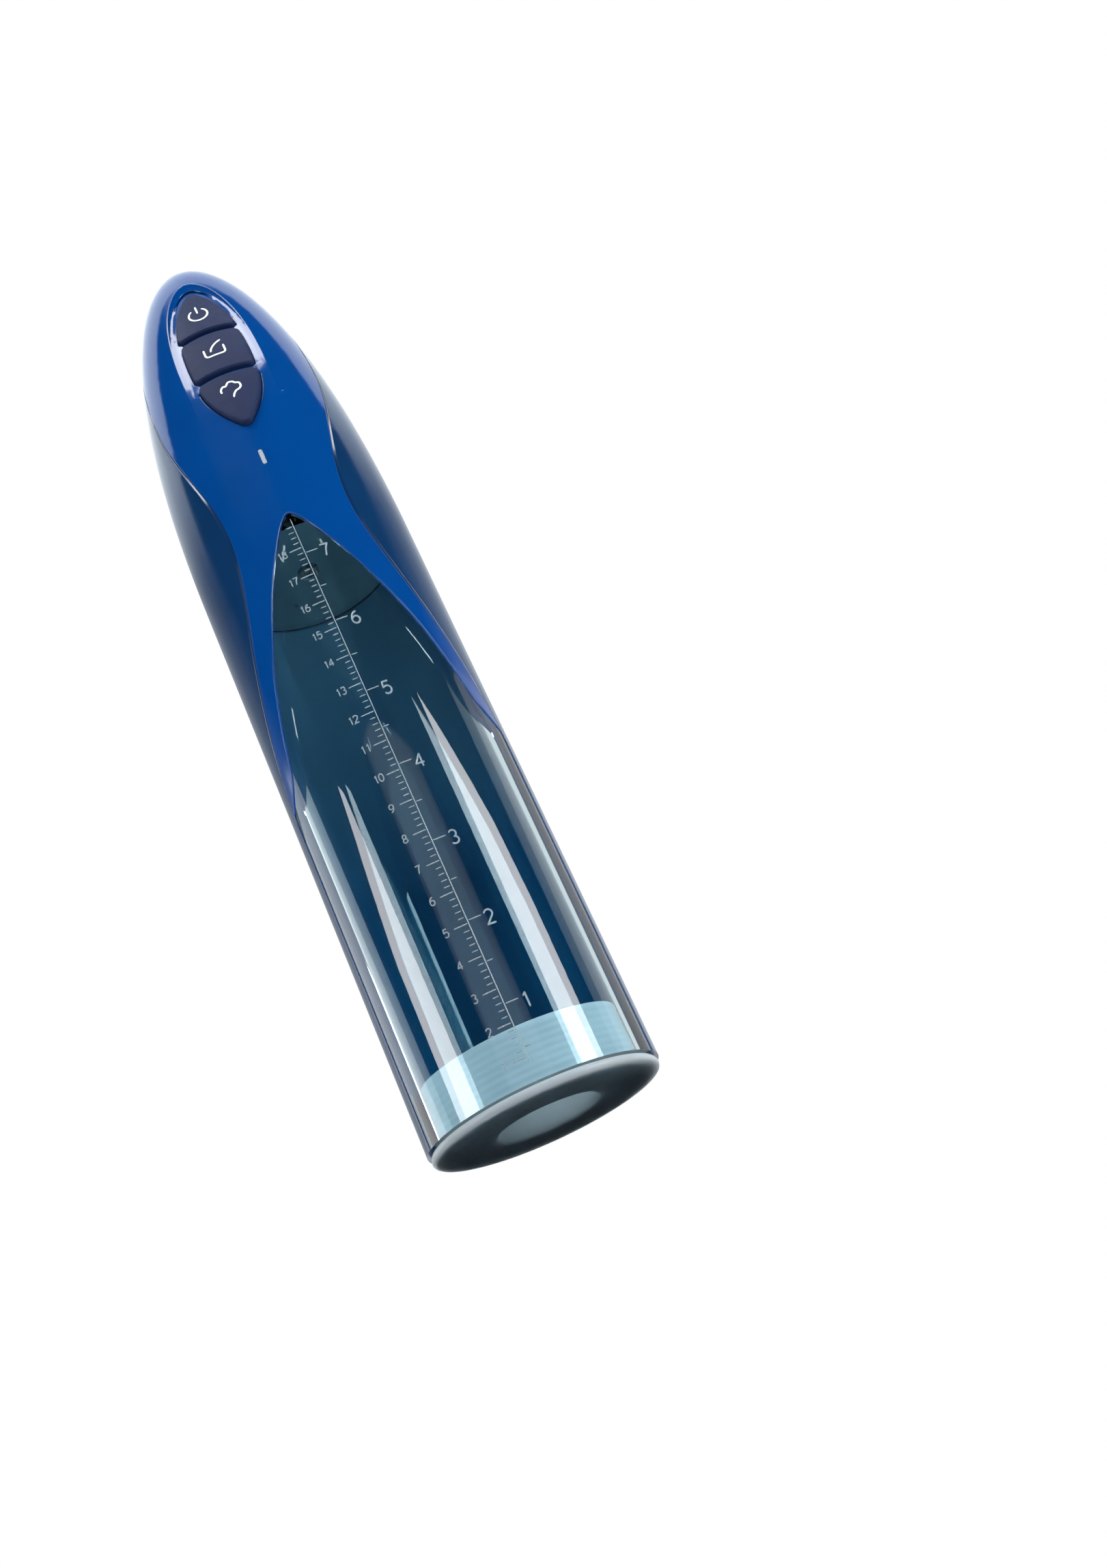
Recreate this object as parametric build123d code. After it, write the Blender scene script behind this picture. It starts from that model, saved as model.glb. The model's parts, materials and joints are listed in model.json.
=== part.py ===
from build123d import *
import math
import os

# Handheld rechargeable vacuum pump with a removable clear cylinder, standing on its open end.
# Millimetres. +Z runs from the open end to the head, the keys face -Y, the origin is the
# centre of the open end.

os.makedirs("parts", exist_ok=True)

# ---------------------------------------------------------------- outer body
BODY_R = 35.0            # radius of the straight barrel
SHOULDER_Z = 193.0       # barrel ends and the head starts to round in
SHOULDER_PULL_Z = 297.0  # how far the head stays full before closing
NOSE_PULL_R = 12.0       # bluntness of the nose
HEAD_TOP_Z = 324.0
WALL = 1.8               # shell wall
SHELL_LOW_Z = 3.2        # shells stop just above the sealing flange
SEAM = 0.2               # parting gap between outer pieces
SEAM_Y = -11.4           # straight side seam of cylinder pad and back shell
ARM_TIP_Z = 107.0        # where the cover arms run out on the seam

# ---------------------------------------------------------------- keypad
PANEL_TILT = 12.0
PANEL_Y = -21.5
PANEL_Z = 264.5
DISH_PIVOT_Y = -33.6     # the dish floor leaves the skin here
DISH_PIVOT_Z = 238.0
DISH_TILT = 1.85
DISH_TOP_Z = 304.5
DISH_WIDE_Z = 256.0      # the crest is at its widest here and runs straight down from it
DISH_HALF_WIDTH = 13.7
DISH_WALL_SHARE = 0.28   # how far in from the crest the wall reaches
DISH_SIDE_POWER = 1.82   # fullness of the dish across its width
DISH_END_POWER = 2.4     # fullness of the dish towards its upper end
DISH_STEP_Z = 1.9        # spacing of the sections that shape the dish floor
RIM_ROUND = 0.35         # rounding of the shells' parting edges
KEY_PROUD = 1.7          # key faces above the dish floor
KEY_GAP = 0.25
KEY_TRAVEL = 0.8
FLANGE_GAP = 0.2
FLANGE_T = 1.0
FLANGE_LIP = 0.7
KEY_CENTRES_Z = (284.5, 264.2, 244.6)
DOME_TOP_W = 2.0
STEM_R = 2.2
PCB_FRONT_W = -3.0
PCB_T = 1.6
LED_SLOT_LOW_Z = 213.2
LED_SLOT_HIGH_Z = 218.9
LED_SLOT_R = 0.65

# ---------------------------------------------------------------- clear cylinder and sleeve
TUBE_R = 32.95
BORE_R = 30.2
PAD_R = 34.7
TUBE_LOW_Z = 3.2
TUBE_TOP_Z = 193.0
TUBE_ROOF = 3.0
NIPPLE_R = 3.4
NIPPLE_TOP_Z = 198.6
NIPPLE_HOLE_R = 1.6
APERTURE_R = 14.0
SLEEVE_R = 34.4
SLEEVE_FLANGE = 3.0

# ---------------------------------------------------------------- inside
BULK_Z = 194.5
BULK_T = 3.0
BULK_R = 32.9
BULK_TOP_Z = BULK_Z + BULK_T
SHELF_Z = 213.5
SHELF_T = 2.0
WEB_FRONT_Y = -8.0
WEB_BACK_Y = -6.0
PORT_Z = 203.0           # level of the three hose barbs
BARB_R = 1.5
BARB_HOLE_R = 0.8
HOSE_R = 2.0
HOSE_BORE_R = 1.55
PUMP_X = -12.5
PUMP_Y = 7.5
PUMP_R = 13.2
PUMP_LOW_Z = 216.0
VALVE_PLATE_Z = 219.5
DIAPHRAGM_Z = 221.5
HOUSING_Z = 222.5
MOTOR_Z = 238.5
MOTOR_R = 12.0
MOTOR_TOP_Z = 264.0
CAP_TOP_Z = 267.6
WOBBLE_Z = 228.0         # height of the still point of the wobble plate
WOBBLE_TILT = 6.0
HUB_Z = 231.2
CELL_X = 12.5
CELL_Y = 7.5
CELL_R = 9.0
CELL_LOW_Z = 216.2
CELL_LEN = 64.0
TAB_T = 0.2
TAB_LEAD_Y = -3.4        # minus lead runs down between the cell and the web
CLAMP_Z = 244.0
CLAMP_H = 8.0
SOLENOID_Y = 20.5
SOLENOID_Z = 204.5
CHARGE_Z = 236.0
CHARGE_R = 9.5
CHARGE_FLOOR_Y = 31.6
CHARGE_BACK_Y = 29.4
LID_SCREWS = ((9.7, -26.6), (-9.7, -26.6), (25.2, 12.0), (-25.2, 12.0))
PCB_SCREWS = ((-9.0, -43.0), (9.0, -43.0), (-9.2, 18.5), (9.2, 18.5))
PUMP_BARBS = ((PUMP_X - 5, PUMP_Y), (PUMP_X + 4, PUMP_Y + 5))
PUMP_SCREW_R = 11.9      # screw circle of the pump
EXHAUST_X = -8.5         # exhaust hole through the bulkhead
EXHAUST_Y = 17.5
CLAMP_SCREW_X = 1.4
SENSOR_V = -34.0         # pressure sensor on the back of the board
SENSOR_W = -8.0
LEAD_R = 0.45
PLUG_LOW_W = PCB_FRONT_W - PCB_T - 2.3

FRONT = Plane(origin=(0, 0, 0), x_dir=(1, 0, 0), z_dir=(0, -1, 0))
SIDE = Plane(origin=(0, 0, 0), x_dir=(0, 1, 0), z_dir=(1, 0, 0))
TILT_SIN = math.sin(math.radians(PANEL_TILT))
TILT_COS = math.cos(math.radians(PANEL_TILT))
PANEL = Plane(origin=(0, PANEL_Y, PANEL_Z), x_dir=(1, 0, 0), z_dir=(0, -TILT_COS, TILT_SIN))
BASE = (Align.CENTER, Align.CENTER, Align.MIN)
FAR = 60.0               # reach of cutting bodies beyond the part


# ---------------------------------------------------------------- small helpers
def rod(x, y, z_low, z_high, radius):
    return Pos(x, y, z_low) * Cylinder(radius, z_high - z_low, align=BASE)


def rod_x(y, z, x_low, x_high, radius):
    return Pos(x_low, y, z) * Rot(0, 90, 0) * Cylinder(radius, x_high - x_low, align=BASE)


def rod_y(x, z, y_low, y_high, radius):
    return Pos(x, y_low, z) * Rot(-90, 0, 0) * Cylinder(radius, y_high - y_low, align=BASE)


def ring(x, y, z_low, z_high, outer, inner):
    return rod(x, y, z_low, z_high, outer) - rod(x, y, z_low - 1, z_high + 1, inner)


def block(x_low, x_high, y_low, y_high, z_low, z_high):
    centre = Pos((x_low + x_high) / 2, (y_low + y_high) / 2, (z_low + z_high) / 2)
    return centre * Box(x_high - x_low, y_high - y_low, z_high - z_low)


def panel_rod(x, v, w_low, w_high, radius):
    """Round bar standing square to the keypad plane."""
    return PANEL * Pos(x, v, w_low) * Cylinder(radius, w_high - w_low, align=BASE)


def panel_block(x_low, x_high, v_low, v_high, w_low, w_high):
    centre = Pos((x_low + x_high) / 2, (v_low + v_high) / 2, (w_low + w_high) / 2)
    return PANEL * centre * Box(x_high - x_low, v_high - v_low, w_high - w_low)


def mirrored(points):
    """Right-hand outline points followed by the same points mirrored on the left."""
    return list(points) + [(-x, y) for x, y in reversed(points) if x > 0]


def round_outline(points, radius):
    return make_face(FilletPolyline(*points, radius=radius, close=True))


def front_prism(face, depth=FAR):
    return extrude(FRONT * face, depth)


def tube_along(path, outer, inner=0.0):
    start = Plane(origin=path @ 0, z_dir=path % 0)
    solid = sweep(start * Circle(outer), path=path)
    if inner > 0:
        solid -= sweep(start * Circle(inner), path=path)
    return solid


def bent_path(start, start_pull, end_pull, end):
    return Bezier(start, start_pull, end_pull, end)


# ---------------------------------------------------------------- body of revolution
def skin(inset, z_low=SHELL_LOW_Z):
    """Solid of the whole outer form, shrunk evenly by the inset."""
    radius = BODY_R - inset
    top = HEAD_TOP_Z - inset
    wall = Line((radius, z_low), (radius, SHOULDER_Z))
    dome = Bezier(
        (radius, SHOULDER_Z),
        (radius, SHOULDER_PULL_Z - 0.8 * inset),
        (NOSE_PULL_R - 0.3 * inset, top),
        (0, top),
    )
    axis_line = Line((0, top), (0, z_low))
    foot = Line((0, z_low), (radius, z_low))
    return revolve(FRONT * make_face([wall, dome, axis_line, foot]), Axis.Z)


def skin_radius(z):
    """Radius of the outer form at a height in the head."""
    low, high = 0.0, 1.0
    for _ in range(40):
        t = (low + high) / 2
        u = 1 - t
        height = SHOULDER_Z * u**3 + 3 * SHOULDER_PULL_Z * t * u**2 + HEAD_TOP_Z * t**2 * (3 * u + t)
        if height < z:
            low = t
        else:
            high = t
    u = 1 - low
    return BODY_R * u**3 + 3 * BODY_R * low * u**2 + 3 * NOSE_PULL_R * low**2 * u


def dish_skin(inset):
    """Outer form tipped back about the foot of the keypad; it gives the dish floor."""
    pivot = Axis((0, DISH_PIVOT_Y, DISH_PIVOT_Z), (1, 0, 0))
    return skin(inset).rotate(pivot, -DISH_TILT)


def cover_side_face(shift):
    """Side view of everything in front of the cover's rear edge."""
    edge = Spline(
        (SEAM_Y + shift, ARM_TIP_Z),
        (-13.4 + shift, 121),
        (-18.3 + shift, 140),
        (-24.3 + shift, 162),
        (-27.9 + shift, 181),
        (-28.8 + shift, 196),
        (-27.1 + shift, 213),
        (-22.8 + shift, 230.5),
        (-17.8 + shift, 247),
        (-13.1 + shift, 264),
        (-7.0 + shift, 281),
        (1.0 + shift, 300),
        (11.0 + shift, 321),
    )
    top_z = HEAD_TOP_Z + 10
    rim = Polyline(
        (11.0 + shift, 321),
        (14.0 + shift, top_z),
        (-FAR, top_z),
        (-FAR, 0),
        (SEAM_Y + shift, 0),
        (SEAM_Y + shift, ARM_TIP_Z),
    )
    return make_face([edge, rim])


def front_half(shift):
    return extrude(SIDE * cover_side_face(shift), FAR, both=True)


def arch_face(shrink):
    """Front view of the window: a pointed arch that runs out on the side seams."""
    flank = [(33.2, 108.0), (31.4, 112.0), (29.0, 118.0), (27.4, 126.0), (25.4, 135.5)]
    flank += [(22.6, 146.5), (19.3, 156.0), (14.9, 167.5), (10.3, 177.5), (5.6, 186.3), (2.3, 191.4)]
    right = [(x - shrink, z - 0.4 * shrink) for x, z in flank] + [(0.0, 193.2 - 1.6 * shrink)]
    crown = Spline(*mirrored(right))
    side, low = right[0]
    foot = Polyline((-side, low), (-FAR, low), (-FAR, -10), (FAR, -10), (FAR, low), (side, low))
    return make_face([crown, foot])


# ---------------------------------------------------------------- keypad outlines
def panel_v(z):
    """Height on the keypad plane of the point at height z on the front of the skin."""
    return (PANEL_Y * -1 - skin_radius(z)) * TILT_SIN + (z - PANEL_Z) * TILT_COS


def key_outline(index):
    if index == 0:
        apex, foot = (0, panel_v(299.3)), panel_v(275.3)
        right = ThreePointArc((10.1, foot), (7.1, panel_v(288.0)), apex)
        left = ThreePointArc(apex, (-7.1, panel_v(288.0)), (-10.1, foot))
        face = make_face([right, left, Line((-10.1, foot), (10.1, foot))])
    elif index == 1:
        top, mid, foot = panel_v(273.0), panel_v(263.6), panel_v(254.2)
        right = ThreePointArc((10.1, foot), (10.4, mid), (9.9, top))
        left = ThreePointArc((-9.9, top), (-10.4, mid), (-10.1, foot))
        lines = [Line((9.9, top), (-9.9, top)), Line((-10.1, foot), (10.1, foot))]
        face = make_face([right, left] + lines)
    else:
        tip, top = (0, panel_v(228.6)), panel_v(252.0)
        right = ThreePointArc(tip, (7.2, panel_v(239.3)), (10.2, top))
        left = ThreePointArc((-10.2, top), (-7.2, panel_v(239.3)), tip)
        face = make_face([right, left, Line((10.2, top), (-10.2, top))])
    return fillet(face.vertices(), 2.0)


def panel_prism(face, depth=FAR):
    return extrude(PANEL * face, depth)


def crest_rise(z):
    """Share of the way from the widest level of the dish to its upper end."""
    return max(0.0, z - DISH_WIDE_Z) / (DISH_TOP_Z - DISH_WIDE_Z)


def deck_face():
    """Front view of the thickened wall behind the key dish, a little wider than its crest."""
    margin, low = 1.5, DISH_PIVOT_Z - 12
    heights = [DISH_WIDE_Z + step * (DISH_TOP_Z - DISH_WIDE_Z) / 6 for step in range(6)]
    right = []
    for z in heights:
        half_width = DISH_HALF_WIDTH * (1 - crest_rise(z) ** DISH_END_POWER) ** (1 / DISH_SIDE_POWER)
        right.append((half_width + margin, z))
    crown = Spline(*([(-x, z) for x, z in right] + [(0, DISH_TOP_Z + margin)] + right[::-1]))
    side = DISH_HALF_WIDTH + margin
    foot = Polyline((side, DISH_WIDE_Z), (side, low), (-side, low), (-side, DISH_WIDE_Z))
    return make_face([crown, foot])


# ---------------------------------------------------------------- outer pieces
def lid_boss(x, y):
    """Screw boss above the bulkhead, joined to the wall by a rib."""
    reach = math.hypot(x, y)
    rib = Rot(0, 0, math.degrees(math.atan2(y, x))) * block(reach, BODY_R, -1.5, 1.5, 198, 207)
    boss = rod(x, y, 197.8, 207, 3.0) + rib
    return (boss & skin(WALL / 2)) - rod(x, y, 190, 205, 0.9)


def dish_depth(x, z):
    """Depth of the key dish below the skin; negative outside its crest."""
    floor_depth = (z - DISH_PIVOT_Z) * math.tan(math.radians(DISH_TILT))
    if floor_depth <= 0:
        return floor_depth
    inside = 1 - (abs(x) / DISH_HALF_WIDTH) ** DISH_SIDE_POWER - crest_rise(z) ** DISH_END_POWER
    if inside < 0:
        return floor_depth * 2 * inside / DISH_WALL_SHARE
    share = min(1.0, inside / DISH_WALL_SHARE)
    return floor_depth * (1 - (1 - share) ** 2)


def dish_tool():
    """Solid in front of the scooped key dish: a convex floor with a concave wall up to the crest."""
    low = DISH_PIVOT_Z - 7
    half_width = 16
    rows = []
    for level in range(44):
        z = low + level * DISH_STEP_Z
        radius = skin_radius(z)
        row = []
        for x in range(-half_width, half_width + 1):
            front = radius - x**2 / (2 * radius) - x**4 / (8 * radius**3)
            row.append(Vector(x, dish_depth(x, z) - front, z))
        rows.append(row)
    floor = Face.make_surface_from_array_of_points(rows, tol=0.02)
    return extrude(floor, FAR, dir=(0, -1, 0))


def on_skin(point):
    radius = skin_radius(point.Z) if point.Z > SHOULDER_Z else BODY_R
    return abs(math.hypot(point.X, point.Y) - radius) < 0.02


def round_rim(shell):
    """Round the long edges where the outer skin ends at a parting line."""
    rim = []
    for wall in shell.faces().filter_by(GeomType.EXTRUSION):
        for edge in wall.edges():
            if edge.length > 25 and all(on_skin(edge @ share) for share in (0, 0.25, 0.5, 0.75, 1)):
                rim.append(edge)
    return fillet(rim, RIM_ROUND)


def front_cover():
    shell = (skin(0) - skin(WALL)) & front_half(0)
    shell -= front_prism(arch_face(0))
    deck = (front_prism(deck_face()) & dish_skin(-0.1) & skin(0)) - dish_skin(WALL)
    shell += deck
    shell -= dish_tool()
    for index in range(3):
        shell -= panel_prism(offset(key_outline(index), KEY_GAP))
    slot_mid = (LED_SLOT_LOW_Z + LED_SLOT_HIGH_Z) / 2
    slot = SlotOverall(LED_SLOT_HIGH_Z - LED_SLOT_LOW_Z + 0.2, 2 * LED_SLOT_R + 0.2, rotation=90)
    shell -= front_prism(Pos(0, slot_mid) * slot)
    for x, y in LID_SCREWS[:2]:
        shell += lid_boss(x, y)
    return round_rim(shell)


def back_shell():
    shell = (skin(0) - skin(WALL)) - front_half(SEAM)
    shell -= block(-FAR, FAR, -FAR, SEAM_Y + SEAM, 0, ARM_TIP_Z)
    recess = rod_y(0, CHARGE_Z, CHARGE_FLOOR_Y, FAR, CHARGE_R)
    boss = rod_y(0, CHARGE_Z, CHARGE_BACK_Y, FAR, CHARGE_R + 1.6) & skin(0)
    shell = (shell + boss) - recess
    for x in (-4, 4):
        shell -= rod_y(x, CHARGE_Z, 20, FAR, 1.65)
    for x, y in LID_SCREWS[2:]:
        shell += lid_boss(x, y)
    return round_rim(shell)


def clear_cylinder():
    tube = ring(0, 0, TUBE_LOW_Z, TUBE_TOP_Z, TUBE_R, BORE_R)
    roof = rod(0, 0, TUBE_TOP_Z - TUBE_ROOF, TUBE_TOP_Z, TUBE_R - 1)
    pad = rod(0, 0, TUBE_LOW_Z, TUBE_TOP_Z, PAD_R) - rod(0, 0, 0, HEAD_TOP_Z, TUBE_R - 0.5)
    pad &= front_prism(arch_face(SEAM))
    pad &= front_half(-SEAM)
    nipple = rod(0, 0, TUBE_TOP_Z - 1, NIPPLE_TOP_Z, NIPPLE_R)
    body = tube + roof + pad + nipple
    return body - rod(0, 0, TUBE_TOP_Z - 10, HEAD_TOP_Z, NIPPLE_HOLE_R)


def seal_sleeve():
    """Soft ring that plugs into the cylinder mouth, with a rolled inner lip."""
    lip = 1.5
    outline = [
        (APERTURE_R, 0), (SLEEVE_R, 0), (SLEEVE_R, SLEEVE_FLANGE), (BORE_R - 0.2, SLEEVE_FLANGE),
        (BORE_R - 0.2, 20), (BORE_R - 0.2 - lip, 20), (BORE_R - 2.4, 5.2), (18.5, 5.2),
        (15.8, 9.0), (15.4, 22), (APERTURE_R, 22),
    ]
    face = round_outline(outline, 0.6)
    return revolve(FRONT * face, Axis.Z)


def key(index):
    face = key_outline(index)
    cap = (panel_prism(face) & dish_skin(-KEY_PROUD)) - dish_skin(WALL + FLANGE_GAP + FLANGE_T)
    cap = fillet(cap.faces().sort_by(Axis.Y)[0].edges(), 0.7)
    flange = panel_prism(offset(face, FLANGE_LIP)) & dish_skin(WALL + FLANGE_GAP)
    flange = (flange & skin(WALL + FLANGE_GAP)) - dish_skin(WALL + FLANGE_GAP + FLANGE_T)
    v = panel_v(KEY_CENTRES_Z[index])
    stem = panel_rod(0, v, DOME_TOP_W + KEY_TRAVEL + 0.1, FAR, STEM_R) & dish_skin(WALL + FLANGE_T)
    return cap + flange + stem


def light_pipe():
    mid = (LED_SLOT_LOW_Z + LED_SLOT_HIGH_Z) / 2
    bar = SlotOverall(LED_SLOT_HIGH_Z - LED_SLOT_LOW_Z, 2 * LED_SLOT_R, rotation=90)
    foot = SlotOverall(LED_SLOT_HIGH_Z - LED_SLOT_LOW_Z + 2, 3.2, rotation=90)
    pipe = front_prism(Pos(0, mid) * bar) & skin(0.05)
    pipe -= block(-5, 5, -32.0, 5, 200, 230)
    plate = extrude(FRONT.offset(30.8) * Pos(0, mid) * foot, 1.6)
    return pipe + plate


# ---------------------------------------------------------------- chassis and air path
def barb(direction):
    """Hose barb on the port socket, pointing along a horizontal direction in degrees."""
    pin = rod_x(0, PORT_Z, 5.0, 10.8, BARB_R)
    return Rot(0, 0, direction) * pin


def chassis():
    disc = rod(0, 0, BULK_Z, BULK_TOP_Z, BULK_R)
    socket = rod(0, 0, BULK_Z, 206.5, 6.4)
    web = block(-23.5, 23.5, WEB_FRONT_Y, WEB_BACK_Y, BULK_TOP_Z - 0.5, 284)
    web -= block(-8.5, 8.5, -20, 0, BULK_TOP_Z, 212)
    shelf = block(-FAR, FAR, WEB_BACK_Y - 0.5, 17.5, SHELF_Z, SHELF_Z + SHELF_T)
    saddle = block(-26, 23, WEB_BACK_Y - 0.5, 4, CLAMP_Z, CLAMP_Z + CLAMP_H)
    frame = disc + socket + ((web + shelf + saddle) & skin(2.4))
    for x in (-22.2, 22.2):
        frame += block(x - 1.2, x + 1.2, WEB_BACK_Y - 0.5, 6, BULK_TOP_Z - 0.5, SHELF_Z + 0.5)
    for x, v in PCB_SCREWS:
        post = panel_rod(x, v, PCB_FRONT_W - PCB_T - 22, PCB_FRONT_W - PCB_T, 2.3)
        frame += post & block(-FAR, FAR, -FAR, WEB_BACK_Y - 0.5, 180, HEAD_TOP_Z)
        frame -= panel_rod(x, v, PCB_FRONT_W - PCB_T - 4, FAR, 0.7)
    for direction in (180, 90, -90):
        frame += barb(direction)
    for direction in (180, 90, -90):
        frame -= Rot(0, 0, direction) * rod_x(0, PORT_Z, 0, 20, BARB_HOLE_R)
    frame -= rod(0, 0, BULK_Z - 1, 200.8, 3.7)
    frame -= rod(0, 0, 196.3, 198.1, 5.25)
    frame -= rod(0, 0, 200, 204.4, 1.4)
    frame -= rod(PUMP_X, PUMP_Y, PUMP_LOW_Z - 0.2, HEAD_TOP_Z, MOTOR_R + 0.12)
    frame -= rod(CELL_X, CELL_Y, PUMP_LOW_Z - 0.2, HEAD_TOP_Z, CELL_R + 0.35)
    for x, y in PUMP_BARBS:
        frame -= rod(x, y, SHELF_Z - 1, SHELF_Z + SHELF_T + 1, 2.6)
    frame -= rod(EXHAUST_X, EXHAUST_Y, BULK_Z - 1, BULK_TOP_Z + 1, 1.2)
    for x, y in LID_SCREWS:
        frame -= rod(x, y, BULK_Z - 1, BULK_TOP_Z + 1, 1.3)
        frame -= rod(x, y, BULK_Z - 1, BULK_Z + 1.6, 2.7)
    frame -= rod_y(CLAMP_SCREW_X, CLAMP_Z + CLAMP_H / 2, -4, 10, 0.8)
    frame -= rod(CELL_X, TAB_LEAD_Y, CLAMP_Z - 1, CLAMP_Z + CLAMP_H + 1, 0.8)
    return frame


def lid_screws():
    screws = []
    for x, y in LID_SCREWS:
        head = rod(x, y, BULK_Z + 0.1, BULK_Z + 1.5, 2.4)
        socket = rod(x, y, BULK_Z - 1, BULK_Z + 0.9, 1.2)
        screws.append((head - socket) + rod(x, y, BULK_Z + 1, 203.5, 0.85))
    return Compound(children=[solid.solid() for solid in screws])


def port_ring():
    return revolve(FRONT * (Pos(4.34, 197.2) * Circle(0.83)), Axis.Z)


def filter_disc():
    return rod(0, 0, 198.9, 200.5, 3.55)


def inlet_hose():
    start, end = (-6.6, 0, PORT_Z), (PUMP_BARBS[0][0], PUMP_BARBS[0][1], 214.6)
    bend_start, bend_end = (-12.0, 0, PORT_Z), (end[0], end[1], 210.2)
    bend = bent_path(bend_start, (-16.6, 0, PORT_Z), (end[0], end[1], 205.4), bend_end)
    return tube_along(Line(start, bend_start) + bend + Line(bend_end, end), HOSE_R, HOSE_BORE_R)


def valve_hose():
    return tube_along(Line((0, 6.6, PORT_Z), (0, 15.8, PORT_Z)), HOSE_R, HOSE_BORE_R)


def sensor_hose():
    start, bend_start = (0, -6.6, PORT_Z), (0, -12.0, PORT_Z)
    down = PANEL * Pos(0, SENSOR_V - 8.5, SENSOR_W) * Vertex(0, 0, 0)
    up = PANEL * Pos(0, SENSOR_V - 4.3, SENSOR_W) * Vertex(0, 0, 0)
    pull = PANEL * Pos(0, SENSOR_V - 13.5, SENSOR_W) * Vertex(0, 0, 0)
    bend_end, end = tuple(down.position), tuple(up.position)
    bend = bent_path(bend_start, (0, -17.5, PORT_Z), tuple(pull.position), bend_end)
    return tube_along(Line(start, bend_start) + bend + Line(bend_end, end), HOSE_R, HOSE_BORE_R)


def exhaust_hose():
    x, y = PUMP_BARBS[1]
    top, bend_top = (x, y, 214.6), (x, y, 209.4)
    bend_low = (EXHAUST_X, EXHAUST_Y, 200.5)
    bend = bent_path(bend_top, (x, y, 205.5), (EXHAUST_X, EXHAUST_Y, 205.5), bend_low)
    tail = Line(bend_low, (EXHAUST_X, EXHAUST_Y, BULK_TOP_Z + 0.1))
    return tube_along(Line(top, bend_top) + bend + tail, HOSE_R, HOSE_BORE_R)


# ---------------------------------------------------------------- vacuum pump
def pump_cover():
    cap = rod(PUMP_X, PUMP_Y, PUMP_LOW_Z, VALVE_PLATE_Z, PUMP_R)
    cap -= rod(PUMP_X, PUMP_Y, PUMP_LOW_Z + 1.5, VALVE_PLATE_Z + 1, 4.0)
    cap -= ring(PUMP_X, PUMP_Y, PUMP_LOW_Z + 1.5, VALVE_PLATE_Z + 1, 9.8, 5.0)
    for x, y in PUMP_BARBS:
        cap += rod(x, y, 210.4, PUMP_LOW_Z + 1, BARB_R)
        cap -= rod(x, y, 209, PUMP_LOW_Z + 2, BARB_HOLE_R)
    return cap - pump_screw_holes()


def pump_angles(first):
    return [first + 120 * step for step in range(3)]


def around_pump(radius, degrees):
    angle = math.radians(degrees)
    return PUMP_X + radius * math.cos(angle), PUMP_Y + radius * math.sin(angle)


def pump_screw_holes():
    holes = Part()
    for degrees in pump_angles(0):
        x, y = around_pump(PUMP_SCREW_R, degrees)
        holes += rod(x, y, PUMP_LOW_Z - 1, 234, 0.65)
    return holes


def valve_plate():
    plate = rod(PUMP_X, PUMP_Y, VALVE_PLATE_Z + 0.02, DIAPHRAGM_Z - 0.02, PUMP_R)
    for degrees in pump_angles(60):
        for radius in (3.0, 7.0):
            x, y = around_pump(radius, degrees)
            plate -= rod(x, y, VALVE_PLATE_Z - 1, DIAPHRAGM_Z + 1, 0.7)
    return plate - pump_screw_holes()


def pump_flaps():
    """Three umbrella valves seated in the plate over the inlet holes."""
    flaps = []
    for degrees in pump_angles(60):
        x, y = around_pump(7.0, degrees)
        cap = rod(x, y, VALVE_PLATE_Z - 0.7, VALVE_PLATE_Z, 1.6)
        flaps.append(cap + rod(x, y, VALVE_PLATE_Z - 0.1, 220.8, 0.6))
    return Compound(children=[flap.solid() for flap in flaps])


def diaphragm():
    sheet = rod(PUMP_X, PUMP_Y, DIAPHRAGM_Z, HOUSING_Z - 0.05, PUMP_R - 0.1)
    for degrees in pump_angles(60):
        x, y = around_pump(6.2, degrees)
        sheet += Pos(x, y, HOUSING_Z - 0.2) * Cone(3.9, 2.6, 3.2, align=BASE)
        sheet -= Pos(x, y, DIAPHRAGM_Z - 0.1) * Cone(3.2, 2.0, 3.2, align=BASE)
    return sheet - pump_screw_holes()


def pump_housing():
    case = rod(PUMP_X, PUMP_Y, HOUSING_Z, MOTOR_Z - 0.1, PUMP_R)
    case -= rod(PUMP_X, PUMP_Y, HOUSING_Z - 1, MOTOR_Z - 1.7, 10.7)
    case -= rod(PUMP_X, PUMP_Y, HOUSING_Z, MOTOR_Z + 1, 3.2)
    return case - pump_screw_holes()


def pump_screws():
    screws = []
    for degrees in pump_angles(0):
        x, y = around_pump(PUMP_SCREW_R, degrees)
        shank = rod(x, y, PUMP_LOW_Z - 0.3, 233, 0.6)
        screws.append(shank + rod(x, y, PUMP_LOW_Z - 0.45, PUMP_LOW_Z - 0.02, 1.2))
    return Compound(children=[screw.solid() for screw in screws])


def motor_can():
    can = rod(PUMP_X, PUMP_Y, MOTOR_Z, MOTOR_TOP_Z, MOTOR_R)
    can -= rod(PUMP_X, PUMP_Y, MOTOR_Z + 1, MOTOR_TOP_Z + 1, MOTOR_R - 0.9)
    return can - rod(PUMP_X, PUMP_Y, MOTOR_Z - 1, MOTOR_Z + 2, 1.05)


def motor_magnets():
    """Two facing arc magnets on the inside of the can."""
    arc = ring(PUMP_X, PUMP_Y, MOTOR_Z + 4, MOTOR_TOP_Z - 5, MOTOR_R - 0.95, MOTOR_R - 2.9)
    gap = block(PUMP_X - 3, PUMP_X + 3, PUMP_Y - 20, PUMP_Y + 20, MOTOR_Z, MOTOR_TOP_Z)
    return Compound(children=(arc - gap).solids())


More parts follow.
